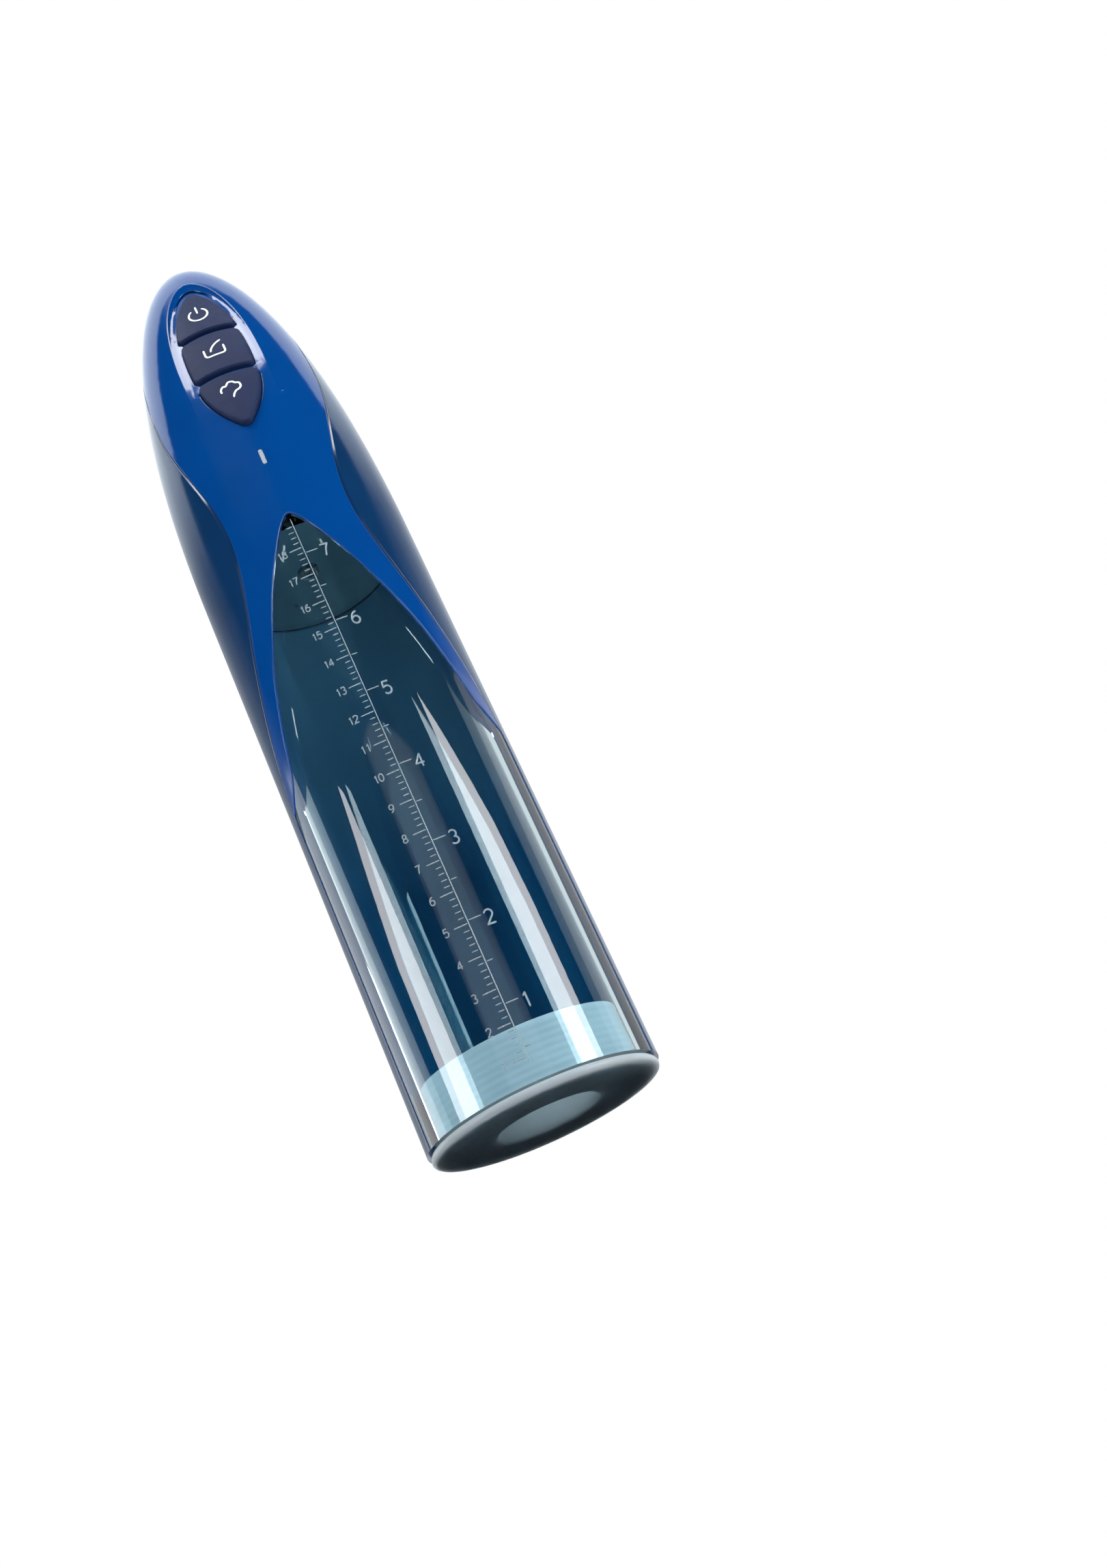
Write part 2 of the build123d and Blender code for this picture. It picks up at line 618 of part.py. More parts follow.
def motor_cap():
    cap = rod(PUMP_X, PUMP_Y, MOTOR_TOP_Z + 0.05, CAP_TOP_Z - 1.4, MOTOR_R - 0.3)
    cap += rod(PUMP_X, PUMP_Y, MOTOR_TOP_Z + 1, CAP_TOP_Z, 3.2)
    cap += ring(PUMP_X, PUMP_Y, MOTOR_TOP_Z - 2, MOTOR_TOP_Z + 0.5, MOTOR_R - 0.98, MOTOR_R - 2.2)
    return cap - rod(PUMP_X, PUMP_Y, MOTOR_TOP_Z - 1, CAP_TOP_Z - 1.0, 1.05)


def wobble_plane(z):
    """Plane square to the slanted crank pin, at a height along it."""
    slant = math.radians(WOBBLE_TILT)
    direction = Vector(math.sin(slant), 0, math.cos(slant))
    origin = Vector(PUMP_X, PUMP_Y, WOBBLE_Z) + direction * (z - WOBBLE_Z)
    return Plane(origin=origin, x_dir=(math.cos(slant), 0, -math.sin(slant)), z_dir=direction)


def rotor():
    """Armature, shaft and the crank hub with its slanted pin hole."""
    shaft = rod(PUMP_X, PUMP_Y, HUB_Z + 3, CAP_TOP_Z - 1.3, 1.0)
    core = rod(PUMP_X, PUMP_Y, MOTOR_Z + 4.5, MOTOR_TOP_Z - 5.5, MOTOR_R - 3.5)
    for pole in range(5):
        x, y = around_pump(MOTOR_R - 3.5, 72 * pole)
        core -= rod(x, y, MOTOR_Z, MOTOR_TOP_Z, 1.1)
    commutator = rod(PUMP_X, PUMP_Y, MOTOR_TOP_Z - 5.6, MOTOR_TOP_Z - 1.5, 2.8)
    hub = rod(PUMP_X, PUMP_Y, HUB_Z, HUB_Z + 5, 5.2)
    hub -= rod(PUMP_X - 4.6, PUMP_Y, HUB_Z - 1, HUB_Z + 6, 1.8)
    hub -= wobble_plane(HUB_Z - 1) * Cylinder(0.95, 3.8, align=BASE)
    return shaft + core + commutator + hub


def wobble_plate():
    """Three-armed rocking plate with the pin that runs in the crank hub."""
    plane = wobble_plane(WOBBLE_Z - 1)
    plate = plane * Cylinder(3.6, 2.0, align=BASE)
    for degrees in pump_angles(60):
        arm = Pos(4.2, 0, 0) * Box(8.4, 3.2, 1.6, align=BASE)
        foot = Pos(6.2, 0, 0) * Cylinder(2.4, 1.6, align=BASE)
        plate += plane * Rot(0, 0, degrees) * (arm + foot)
    return plate + plane * Cylinder(0.9, 6.0, align=BASE)


# ---------------------------------------------------------------- battery and its clamp
def battery_cell():
    body = rod(CELL_X, CELL_Y, CELL_LOW_Z, CELL_LOW_Z + CELL_LEN - 1.2, CELL_R)
    body = fillet(body.edges().filter_by(GeomType.CIRCLE), 0.8)
    return body + rod(CELL_X, CELL_Y, CELL_LOW_Z + CELL_LEN - 1.5, CELL_LOW_Z + CELL_LEN, 3.2)


def battery_sleeve():
    """Shrink sleeve around the cell with turned-in rims."""
    low, high = CELL_LOW_Z + 1.0, CELL_LOW_Z + CELL_LEN - 2.2
    return ring(CELL_X, CELL_Y, low, high, CELL_R + 0.25, CELL_R + 0.03)


def cell_tab_top():
    """Nickel strip on the plus end, reaching towards the motor."""
    low = CELL_LOW_Z + CELL_LEN + 0.02
    return block(CELL_X - 6, CELL_X + 2, CELL_Y - 2, CELL_Y + 2, low, low + TAB_T)


def cell_tab_foot():
    """Nickel strip under the minus end, reaching towards the web."""
    high = CELL_LOW_Z - 0.02
    return block(CELL_X - 2, CELL_X + 2, TAB_LEAD_Y - 1, CELL_Y + 2, high - TAB_T, high)


def clamp_bar():
    """Rear half of the saddle that holds motor and cell against the chassis."""
    bar = block(-26, 23, 4.4, 21.4, CLAMP_Z + 0.4, CLAMP_Z + CLAMP_H - 0.4) & skin(2.6)
    bar -= rod(PUMP_X, PUMP_Y, 230, 270, MOTOR_R + 0.12)
    bar -= rod(CELL_X, CELL_Y, 230, 270, CELL_R + 0.35)
    bar -= rod_y(CLAMP_SCREW_X, CLAMP_Z + CLAMP_H / 2, 15.5, 40, 2.1)
    return bar - rod_y(CLAMP_SCREW_X, CLAMP_Z + CLAMP_H / 2, 0, 20, 1.05)


def clamp_screw():
    z = CLAMP_Z + CLAMP_H / 2
    screw = rod_y(CLAMP_SCREW_X, z, -3.5, 15.7, 0.75) + rod_y(CLAMP_SCREW_X, z, 15.55, 16.9, 1.8)
    return screw - block(CLAMP_SCREW_X - 1.3, CLAMP_SCREW_X + 1.3, 16.3, 18, z - 0.2, z + 0.2)


# ---------------------------------------------------------------- electronics
def board_outline(width, v_low, v_high, corner):
    mid = (v_low + v_high) / 2
    return Pos(0, mid) * RectangleRounded(2 * width, v_high - v_low, corner)


def main_board():
    board = extrude(PANEL.offset(PCB_FRONT_W - PCB_T) * board_outline(11.4, -53.5, 29.5, 3.0), PCB_T)
    for x, v in PCB_SCREWS:
        board -= panel_rod(x, v, -8, 0, 0.9)
    return board


def board_screws():
    screws = []
    for x, v in PCB_SCREWS:
        shank = panel_rod(x, v, PCB_FRONT_W - PCB_T - 3.6, PCB_FRONT_W + 0.3, 0.6)
        screws.append(shank + panel_rod(x, v, PCB_FRONT_W + 0.02, PCB_FRONT_W + 0.9, 1.4))
    return Compound(children=[screw.solid() for screw in screws])


def tact_switches():
    switches = []
    for z in KEY_CENTRES_Z:
        v = panel_v(z)
        body = panel_block(-2.5, 2.5, v - 2.5, v + 2.5, PCB_FRONT_W + 0.02, PCB_FRONT_W + 1.6)
        switches.append(body + panel_rod(0, v, PCB_FRONT_W + 1, PCB_FRONT_W + 2.3, 1.3))
    return Compound(children=[switch.solid() for switch in switches])


def key_membrane():
    """Silicone sheet with three domes and a skirt that stands on the board."""
    points = [(3.0, 28.8), (6.0, 25.5), (7.3, 19.0), (7.3, -18.0), (6.8, -29.0), (3.6, -35.0)]
    outline = points + [(-x, v) for x, v in reversed(points)]
    inner = [(x * 0.84, v * 0.95) for x, v in outline]
    sheet = extrude(PANEL.offset(PCB_FRONT_W + 0.05) * round_outline(outline, 1.6), 3.95)
    sheet -= extrude(PANEL.offset(PCB_FRONT_W - 1) * round_outline(inner, 1.2), 4.0)
    for z in KEY_CENTRES_Z:
        sheet += panel_rod(0, panel_v(z), 0.8, DOME_TOP_W, 4.0)
    return sheet


def status_led():
    v = panel_v((LED_SLOT_LOW_Z + LED_SLOT_HIGH_Z) / 2)
    body = panel_block(-1.4, 1.4, v - 1.8, v + 1.8, PCB_FRONT_W + 0.02, PCB_FRONT_W + 1.1)
    return body


def control_chip():
    return panel_block(-4, 4, -2, 6, PCB_FRONT_W - PCB_T - 1.3, PCB_FRONT_W - PCB_T - 0.02)


def driver_chips():
    chips = []
    for x in (-6.2, 0.0, 6.2):
        back = PCB_FRONT_W - PCB_T - 0.02
        chips.append(panel_block(x - 1.6, x + 1.6, -16, -12, back - 1.4, back))
    return Compound(children=[chip.solid() for chip in chips])


def charge_coil():
    """Power inductor beside the control chip."""
    back = PCB_FRONT_W - PCB_T - 0.02
    return panel_block(-3.2, 3.2, 11, 17.4, back - 3.0, back)


def lead_plug():
    back = PCB_FRONT_W - PCB_T - 0.02
    shell = panel_block(-6.4, 6.4, 19.6, 23.4, back - 2.2, back)
    return shell - panel_block(-5.9, 5.9, 21.4, 25, back - 1.7, back - 0.7)


def pressure_sensor():
    back = PCB_FRONT_W - PCB_T - 0.02
    body = panel_block(-3.8, 3.8, SENSOR_V - 3.8, SENSOR_V + 3.8, -10.4, back)
    nose = PANEL * Pos(0, SENSOR_V - 3, SENSOR_W) * Rot(90, 0, 0) * Cylinder(BARB_R, 6.2, align=BASE)
    bore = PANEL * Pos(0, SENSOR_V, SENSOR_W) * Rot(90, 0, 0) * Cylinder(BARB_HOLE_R, 12, align=BASE)
    return body + nose - bore


# ---------------------------------------------------------------- release valve
def valve_block():
    y, z = SOLENOID_Y, SOLENOID_Z
    body = block(-4.2, 2.6, y - 4.5, y + 4.5, BULK_TOP_Z + 0.05, 209)
    body += rod_x(y, z, 2, 3.5, 1.8)
    body += rod_y(0, PORT_Z, 11.2, y - 4, BARB_R)
    body -= rod_y(0, PORT_Z, 10, y - 1, BARB_HOLE_R)
    body -= rod(0, y - 1.5, PORT_Z, z + 0.5, BARB_HOLE_R)
    body -= rod_x(y, z, -1, 5, 0.7)
    return body - rod_y(0, z, y - 2, y + 0.5, 0.7)


def valve_frame():
    y, z = SOLENOID_Y, SOLENOID_Z
    frame = block(4.9, 18.1, y - 4.8, y + 4.8, BULK_TOP_Z + 0.05, BULK_TOP_Z + 1.2)
    frame += block(4.9, 6.0, y - 4.8, y + 4.8, BULK_TOP_Z + 0.05, 210.3)
    frame += block(17.0, 18.1, y - 4.8, y + 4.8, BULK_TOP_Z + 0.05, 210.3)
    return frame - rod_x(y, z, 4, 7, 2.3)


def valve_coil():
    y, z = SOLENOID_Y, SOLENOID_Z
    coil = rod_x(y, z, 7.2, 15.8, 4.7) + rod_x(y, z, 6.1, 7.3, 5.2) + rod_x(y, z, 15.7, 16.9, 5.2)
    return coil - rod_x(y, z, 5, 18, 2.3)


def valve_plunger():
    y, z = SOLENOID_Y, SOLENOID_Z
    body = rod_x(y, z, 3.62, 15.2, 2.1)
    return body - rod_x(y, z, 11.2, 16, 1.45)


def valve_spring():
    turns, length, radius = 5, 4.0, 1.05
    helix = Pos(12.7, SOLENOID_Y, SOLENOID_Z) * Rot(0, 90, 0) * Helix(length / turns, length, radius)
    profile = Plane(origin=helix @ 0, z_dir=helix % 0) * Circle(0.16)
    return sweep(profile, path=helix, is_frenet=True)


# ---------------------------------------------------------------- charging contact
def charge_pins():
    pins = []
    for x in (-4, 4):
        collar = rod_y(x, CHARGE_Z, 27.6, CHARGE_BACK_Y - 0.05, 2.1)
        pins.append(collar + rod_y(x, CHARGE_Z, 27.6, CHARGE_FLOOR_Y + 0.35, 1.6))
    return Compound(children=[pin.solid() for pin in pins])


def charge_magnets():
    magnets = []
    for z in (CHARGE_Z - 6, CHARGE_Z + 6):
        magnets.append(rod_y(0, z, 27.3, CHARGE_BACK_Y - 0.05, 2.6))
    return Compound(children=[magnet.solid() for magnet in magnets])


# ---------------------------------------------------------------- leads
def plug_point(x):
    """Where a lead leaves the plug on the back of the board."""
    return tuple((PANEL * Pos(x, 21.5, PLUG_LOW_W - 0.25) * Vertex(0, 0, 0)).position)


def lead_head(x_plug, over):
    """First stretch of a lead: out of the plug and up over the top edge of the web."""
    start = plug_point(x_plug)
    first_pull = (start[0], start[1] + 2.5 * TILT_COS, start[2] - 2.5 * TILT_SIN)
    return bent_path(start, first_pull, (over[0], over[1] - 3, over[2]), over)


def lead(x_plug, over, *turns):
    """Wire through a row of (point before, point) pairs after the web's top edge."""
    path = lead_head(x_plug, over)
    here, pull = over, (over[0], over[1] + 3, over[2])
    for before, point in turns:
        path += bent_path(here, pull, before, point)
        here, pull = point, tuple(2 * p - b for p, b in zip(point, before))
    return tube_along(path, LEAD_R)


def lead_cell_plus():
    top = CELL_LOW_Z + CELL_LEN + 0.26
    return lead(2.9, (4.8, -7, 286.6), ((8.2, CELL_Y, top + 5), (8.2, CELL_Y, top)))


def lead_cell_minus():
    bend, low = (12.5, TAB_LEAD_Y, 278.0), (12.5, TAB_LEAD_Y, CELL_LOW_Z + 0.02)
    over = (9.0, -7, 286.8)
    down = ((12.5, TAB_LEAD_Y, 283.0), bend)
    return lead(4.7, over, down, ((12.5, TAB_LEAD_Y, low[2] + 5), low))


def lead_motor(x_plug, x, y):
    foot = CAP_TOP_Z - 1.4 + 0.05
    return lead(x_plug, (x, -7, 286.6), ((x, y, foot + 7), (x, y, foot)))


def lead_charge(side):
    over = (side * 1.4 - 0.6, -7, 286.4)
    crest = ((side * 1.8, 18.0, 278.0), (side * 2.2, 23.3, 266.0))
    down = ((side * 3.0, 24.2, 252.0), (side * 3.4, 24.2, 246.0))
    foot = ((side * 4.0, 23.6, CHARGE_Z), (side * 4.0, 27.5, CHARGE_Z))
    return lead(side * 1.2, over, crest, down, foot)


# ---------------------------------------------------------------- export
NODES = {
    "front_cover": front_cover(),
    "back_shell": back_shell(),
    "clear_cylinder": clear_cylinder(),
    "seal_sleeve": seal_sleeve(),
    "key_power": key(0),
    "key_suction": key(1),
    "key_release": key(2),
    "light_pipe": light_pipe(),
    "chassis": chassis(),
    "lid_screws": lid_screws(),
    "port_ring": port_ring(),
    "filter_disc": filter_disc(),
    "inlet_hose": inlet_hose(),
    "valve_hose": valve_hose(),
    "sensor_hose": sensor_hose(),
    "exhaust_hose": exhaust_hose(),
    "pump_cover": pump_cover(),
    "valve_plate": valve_plate(),
    "pump_flaps": pump_flaps(),
    "diaphragm": diaphragm(),
    "pump_housing": pump_housing(),
    "pump_screws": pump_screws(),
    "motor_can": motor_can(),
    "motor_magnets": motor_magnets(),
    "motor_cap": motor_cap(),
    "rotor": rotor(),
    "wobble_plate": wobble_plate(),
    "battery_cell": battery_cell(),
    "battery_sleeve": battery_sleeve(),
    "cell_tab_top": cell_tab_top(),
    "cell_tab_foot": cell_tab_foot(),
    "clamp_bar": clamp_bar(),
    "clamp_screw": clamp_screw(),
    "main_board": main_board(),
    "board_screws": board_screws(),
    "tact_switches": tact_switches(),
    "key_membrane": key_membrane(),
    "status_led": status_led(),
    "control_chip": control_chip(),
    "driver_chips": driver_chips(),
    "charge_coil": charge_coil(),
    "lead_plug": lead_plug(),
    "pressure_sensor": pressure_sensor(),
    "valve_block": valve_block(),
    "valve_frame": valve_frame(),
    "valve_coil": valve_coil(),
    "valve_plunger": valve_plunger(),
    "valve_spring": valve_spring(),
    "charge_pins": charge_pins(),
    "charge_magnets": charge_magnets(),
    "lead_cell_plus": lead_cell_plus(),
    "lead_cell_minus": lead_cell_minus(),
    "lead_motor_plus": lead_motor(-4.8, -8.4, 2.0),
    "lead_motor_minus": lead_motor(-3.2, -5.4, 10.0),
    "lead_charge_plus": lead_charge(1),
    "lead_charge_minus": lead_charge(-1),
}
for name, shape in NODES.items():
    export_step(shape, "parts/" + name + ".step")
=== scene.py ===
# Looks for the handheld vacuum pump: materials, raised ruler, key icons, soft sleeve, studio and camera.
# Metres, same frame as the CAD: +Z from the open end to the head, the keys face -Y.
import json
import math

import bpy
from mathutils import Euler, Matrix, Vector
from mathutils.bvhtree import BVHTree

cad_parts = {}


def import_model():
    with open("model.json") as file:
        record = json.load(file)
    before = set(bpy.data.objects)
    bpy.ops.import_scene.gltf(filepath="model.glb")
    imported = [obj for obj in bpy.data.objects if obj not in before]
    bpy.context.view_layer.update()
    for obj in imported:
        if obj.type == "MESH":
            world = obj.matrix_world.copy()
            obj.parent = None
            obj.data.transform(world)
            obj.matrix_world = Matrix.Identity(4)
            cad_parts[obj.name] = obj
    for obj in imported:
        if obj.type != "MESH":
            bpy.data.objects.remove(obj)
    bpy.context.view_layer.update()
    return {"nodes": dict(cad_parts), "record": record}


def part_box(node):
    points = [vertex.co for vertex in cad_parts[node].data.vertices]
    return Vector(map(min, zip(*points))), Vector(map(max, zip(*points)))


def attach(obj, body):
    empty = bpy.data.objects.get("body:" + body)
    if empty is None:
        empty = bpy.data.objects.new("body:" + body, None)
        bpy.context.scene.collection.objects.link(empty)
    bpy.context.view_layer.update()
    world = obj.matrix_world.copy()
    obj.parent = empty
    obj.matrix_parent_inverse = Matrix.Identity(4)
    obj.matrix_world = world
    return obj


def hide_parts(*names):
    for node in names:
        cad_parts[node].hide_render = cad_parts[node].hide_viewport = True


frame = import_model()
nodes = frame["nodes"]

MM = 0.001
WHITE = (1, 1, 1, 1)
cylinder_low, cylinder_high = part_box("clear_cylinder")

# Finishes
NOISE_FROM, NOISE_TO = 0.3, 0.7         # the part of the noise that carries the drift
FINER = 2.7                             # roughness drifts at this many times the colour's scale
RIM_FROM, RIM_TO = 0.53, 0.62           # pointiness of a worn rim
WORN_GAIN, WORN_LIFT = 1.6, 0.05
BEVEL_SAMPLES = 4
BUMP_DEPTH = 0.2 * MM
SCATTER = (4 * MM,) * 3
SMOOTH_ANGLE = 28               # degrees; sharper edges than this stay crisp

# Cylinder bay, in metres
BAY_RADIUS = cylinder_high[0] + 0.55 * MM       # shell nearer the axis than this is a shell's inside
BAY_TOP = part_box("chassis")[0][2] - 0.5 * MM
# Heights over which the bay's inside turns from painted shade into painted light
BAY_SHADE_FROM, BAY_SHADE_TO = 0.085, 0.18
# Painted shade low in the bay and painted light high up; both lighter than the navy outside, in place of
# light that hardly reaches the bay
BAY_PAINTED_SHADE_COLOR = (0.0, 0.12, 0.26)
BAY_PAINTED_LIGHT_COLOR = (0.30, 0.55, 0.78)
BAY_LIGHTS = ((0.06, 0.002), (0.10, 0.0015), (0.14, 0.003), (0.18, 0.014))      # height, power
BAY_LIGHT_SIZE = 0.012
CLEAR_SHADOW = (0.86, 0.95, 0.97, 1)

# Raised ruler on the clear pad, in millimetres
INCH = 25.4
PAD_R = -cylinder_low[1] / MM
RULER_FOOT, RULER_TOP = 8.0, 191.0
LINE_WIDTH = 0.32
HALF_INCHES = range(1, 15)
INCH_REACH, HALF_INCH_REACH = 4.0, 2.1
INCH_NUMERAL = {"x": 5.9, "drop": 1.2, "height": 4.2, "width": 0.52}
TICK_STEP, TICKS = 2.0, range(5, 95)
TICKS_PER_CM = 5
CM_REACH, TICK_REACH, TICK_WIDTH = 4.3, 2.3, 0.30
LONG_TICK_GAP, TICK_GAP = 0.3, 0.5      # ticks start this far from the middle of the spine
CM_NUMERAL = {"x": -6.7, "drop": 0, "height": 2.4, "width": 0.34}
DIGIT_PITCH = 0.66              # of the numeral's height
SPINE_STEP, TICK_POINT_STEP = 1.0, 0.3
FINE_STEP = 0.12                # point spacing along small strokes

# Floor, in metres
FLOOR_SIZE, FLOOR_DROP = 8, 0.0002
HAZE_FROM, HAZE_TO = 0.35, 1.3
FLOOR_COLOR = (0.82, 0.83, 0.84, 1)


# ---------------------------------------------------------------- materials
def new_material(name):
    mat = bpy.data.materials.new(name)
    mat.use_nodes = True
    tree = mat.node_tree
    tree.nodes.clear()
    return mat, tree.nodes, tree.links


def mapped_noise(tree_nodes, links, scale, detail, stretch=(1, 1, 1)):
    coord = tree_nodes.new("ShaderNodeTexCoord")
    mapping = tree_nodes.new("ShaderNodeMapping")
    mapping.inputs["Scale"].default_value = stretch
    noise = tree_nodes.new("ShaderNodeTexNoise")
    noise.inputs["Scale"].default_value = scale
    noise.inputs["Detail"].default_value = detail
    links.new(coord.outputs["Object"], mapping.inputs["Vector"])
    links.new(mapping.outputs["Vector"], noise.inputs["Vector"])
    return noise.outputs["Fac"]


def ramp(tree_nodes, links, source, low, high, out_low, out_high):
    node = tree_nodes.new("ShaderNodeMapRange")
    node.inputs["From Min"].default_value = low
    node.inputs["From Max"].default_value = high
    node.inputs["To Min"].default_value = out_low
    node.inputs["To Max"].default_value = out_high
    links.new(source, node.inputs["Value"])
    return node.outputs["Result"]


def finish_of(name, color, rough, vary=0.05, rough_vary=0.05, scale=220, stretch=(1, 1, 1), metal=0.0,
              bump=0.0, bump_scale=900, clear=0.0, ior=1.5, soft=0.0, edge=0.0, wear=0.0, specular=0.5):
    """One procedural finish: colour and roughness that drift, fine bump, rounded edges, worn rims."""
    mat, n, links = new_material(name)
    out = n.new("ShaderNodeOutputMaterial")
    shader = n.new("ShaderNodeBsdfPrincipled")
    links.new(shader.outputs["BSDF"], out.inputs["Surface"])
    noise = mapped_noise(n, links, scale, 4, stretch)
    mix = n.new("ShaderNodeMix")
    mix.data_type = "RGBA"
    mix.inputs["A"].default_value = tuple(c * (1 - vary) for c in color) + (1,)
    mix.inputs["B"].default_value = tuple(min(1, c * (1 + vary)) for c in color) + (1,)
    links.new(ramp(n, links, noise, NOISE_FROM, NOISE_TO, 0, 1), mix.inputs["Factor"])
    base = mix.outputs["Result"]
    fine_noise = mapped_noise(n, links, scale * FINER, 5, stretch)
    rough_out = ramp(n, links, fine_noise, NOISE_FROM, NOISE_TO, max(0.0, rough - rough_vary),
                     rough + rough_vary)
    if wear > 0:
        geometry = n.new("ShaderNodeNewGeometry")
        rim = ramp(n, links, geometry.outputs["Pointiness"], RIM_FROM, RIM_TO, 0, wear)
        worn = n.new("ShaderNodeMix")
        worn.data_type = "RGBA"
        worn_color = tuple(min(1, c * WORN_GAIN + WORN_LIFT) for c in color)
        worn.inputs["B"].default_value = worn_color + (1,)
        links.new(rim, worn.inputs["Factor"])
        links.new(base, worn.inputs["A"])
        base = worn.outputs["Result"]
    links.new(base, shader.inputs["Base Color"])
    links.new(rough_out, shader.inputs["Roughness"])
    shader.inputs["Metallic"].default_value = metal
    shader.inputs["IOR"].default_value = ior
    shader.inputs["Specular IOR Level"].default_value = specular
    shader.inputs["Transmission Weight"].default_value = clear
    if soft > 0:
        shader.inputs["Subsurface Weight"].default_value = soft
        shader.inputs["Subsurface Radius"].default_value = SCATTER
    normal = None
    if edge > 0:
        bevel = n.new("ShaderNodeBevel")
        bevel.samples = BEVEL_SAMPLES
        bevel.inputs["Radius"].default_value = edge * MM
        normal = bevel.outputs["Normal"]
    if bump > 0:
        bumper = n.new("ShaderNodeBump")
        bumper.inputs["Strength"].default_value = bump
        bumper.inputs["Distance"].default_value = BUMP_DEPTH
        links.new(mapped_noise(n, links, bump_scale, 3, stretch), bumper.inputs["Height"])
        if normal:
            links.new(normal, bumper.inputs["Normal"])
        normal = bumper.outputs["Normal"]
    if normal:
        links.new(normal, shader.inputs["Normal"])
    return mat


FINISH = {
    "cover_blue": finish_of("cover_blue", (0.0, 0.054, 0.250), 0.08, vary=0.03, rough_vary=0.015, scale=60,
                            bump=0.01, bump_scale=40, edge=0.5),
    "shell_navy": finish_of("shell_navy", (0.003, 0.032, 0.105), 0.12, vary=0.06, rough_vary=0.02, scale=60,
                            bump=0.01, bump_scale=40),
    "clear_plastic": finish_of("clear_plastic", (0.68, 0.85, 0.91), 0.02, vary=0.01, rough_vary=0.01,
                               scale=40, clear=1.0, ior=1.49, bump=0.008, bump_scale=120),
    # The raised ruler is clear plastic; its pale diffuse colour is a painted highlight in place of the
    # light its raised edges catch
    "ruler_glass": finish_of("ruler_glass", (0.33, 0.41, 0.46), 0.25, vary=0.05, rough_vary=0.06, scale=900,
                             clear=0.15, ior=1.49, bump=0.1),
    "silicone": finish_of("silicone", (0.62, 0.68, 0.72), 0.36, vary=0.05, rough_vary=0.08, scale=90,
                          clear=0.35, ior=1.41, soft=0.35, bump=0.08, bump_scale=700),
    "key_navy": finish_of("key_navy", (0.012, 0.021, 0.065), 0.45, vary=0.08, rough_vary=0.05, scale=300,
                          bump=0.12, bump_scale=2600, edge=0.2, specular=0.08),
    "icon_white": finish_of("icon_white", (0.82, 0.83, 0.80), 0.4, vary=0.03, scale=900, bump=0.05),
    "light_pipe": finish_of("light_pipe", (0.62, 0.72, 0.80), 0.3, vary=0.03, scale=500, clear=0.4,
                            soft=0.2),
    "inner_plastic": finish_of("inner_plastic", (0.34, 0.46, 0.55), 0.5, scale=260, bump=0.12, edge=0.15),
    "steel": finish_of("steel", (0.56, 0.56, 0.58), 0.28, scale=400, metal=1.0, bump=0.015, wear=0.15),
    "black_rubber": finish_of("black_rubber", (0.018, 0.018, 0.02), 0.6, scale=500, bump=0.15),
    "filter_felt": finish_of("filter_felt", (0.78, 0.77, 0.72), 0.9, scale=1800, bump=0.8, bump_scale=4000),
    "hose": finish_of("hose", (0.72, 0.76, 0.76), 0.32, scale=400, clear=0.45, ior=1.41, bump=0.05),
    "pump_plastic": finish_of("pump_plastic", (0.72, 0.72, 0.68), 0.45, scale=300, bump=0.1, edge=0.15),
    "zinc_can": finish_of("zinc_can", (0.58, 0.59, 0.60), 0.3, vary=0.12, scale=300, stretch=(1, 1, 6),
                          metal=1.0, bump=0.06, wear=0.3),
    "ferrite": finish_of("ferrite", (0.045, 0.045, 0.05), 0.55, scale=900, bump=0.2),
    "armature": finish_of("armature", (0.42, 0.38, 0.34), 0.35, vary=0.15, scale=200, stretch=(1, 1, 40),
                          metal=0.9, bump=0.3),
    "white_acetal": finish_of("white_acetal", (0.85, 0.85, 0.82), 0.35, scale=300, bump=0.05, edge=0.15),
    "cell_wrap": finish_of("cell_wrap", (0.02, 0.22, 0.16), 0.3, scale=120, bump=0.06, bump_scale=300),
    "nickel": finish_of("nickel", (0.66, 0.63, 0.57), 0.3, scale=400, metal=1.0, bump=0.02, wear=0.15),
    "board": finish_of("board", (0.01, 0.12, 0.06), 0.35, vary=0.2, scale=700, bump=0.15, bump_scale=1500),
    "switch": finish_of("switch", (0.06, 0.06, 0.06), 0.45, scale=600, bump=0.1),
    "membrane": finish_of("membrane", (0.10, 0.11, 0.13), 0.5, scale=300, bump=0.1, soft=0.1),
    "led": finish_of("led", (0.85, 0.90, 0.95), 0.15, scale=300, clear=0.5),
    "chip": finish_of("chip", (0.025, 0.025, 0.027), 0.45, scale=1200, bump=0.2),
    "plug_white": finish_of("plug_white", (0.82, 0.81, 0.74), 0.4, scale=500, bump=0.08),
    "copper": finish_of("copper", (0.65, 0.26, 0.10), 0.3, vary=0.15, scale=300, stretch=(60, 1, 1),
                        metal=0.9, bump=0.12),
    "gold": finish_of("gold", (0.86, 0.62, 0.26), 0.22, scale=400, metal=1.0, bump=0.02, wear=0.15),
    "lead_red": finish_of("lead_red", (0.50, 0.02, 0.02), 0.32, scale=500, bump=0.05),
    "lead_black": finish_of("lead_black", (0.015, 0.015, 0.016), 0.32, scale=500, bump=0.05),
}


def let_light_through(mat):
    """Shadows of clear plastic are clear, so the bay behind the window is lit."""
    n, links = mat.node_tree.nodes, mat.node_tree.links
    out = next(node for node in n if node.type == "OUTPUT_MATERIAL")
    shader = next(node for node in n if node.type == "BSDF_PRINCIPLED")
    path = n.new("ShaderNodeLightPath")
    clear = n.new("ShaderNodeBsdfTransparent")
    clear.inputs["Color"].default_value = CLEAR_SHADOW
    mix = n.new("ShaderNodeMixShader")
    links.new(path.outputs["Is Shadow Ray"], mix.inputs["Fac"])
    links.new(shader.outputs["BSDF"], mix.inputs[1])
    links.new(clear.outputs["BSDF"], mix.inputs[2])
    links.new(mix.outputs["Shader"], out.inputs["Surface"])


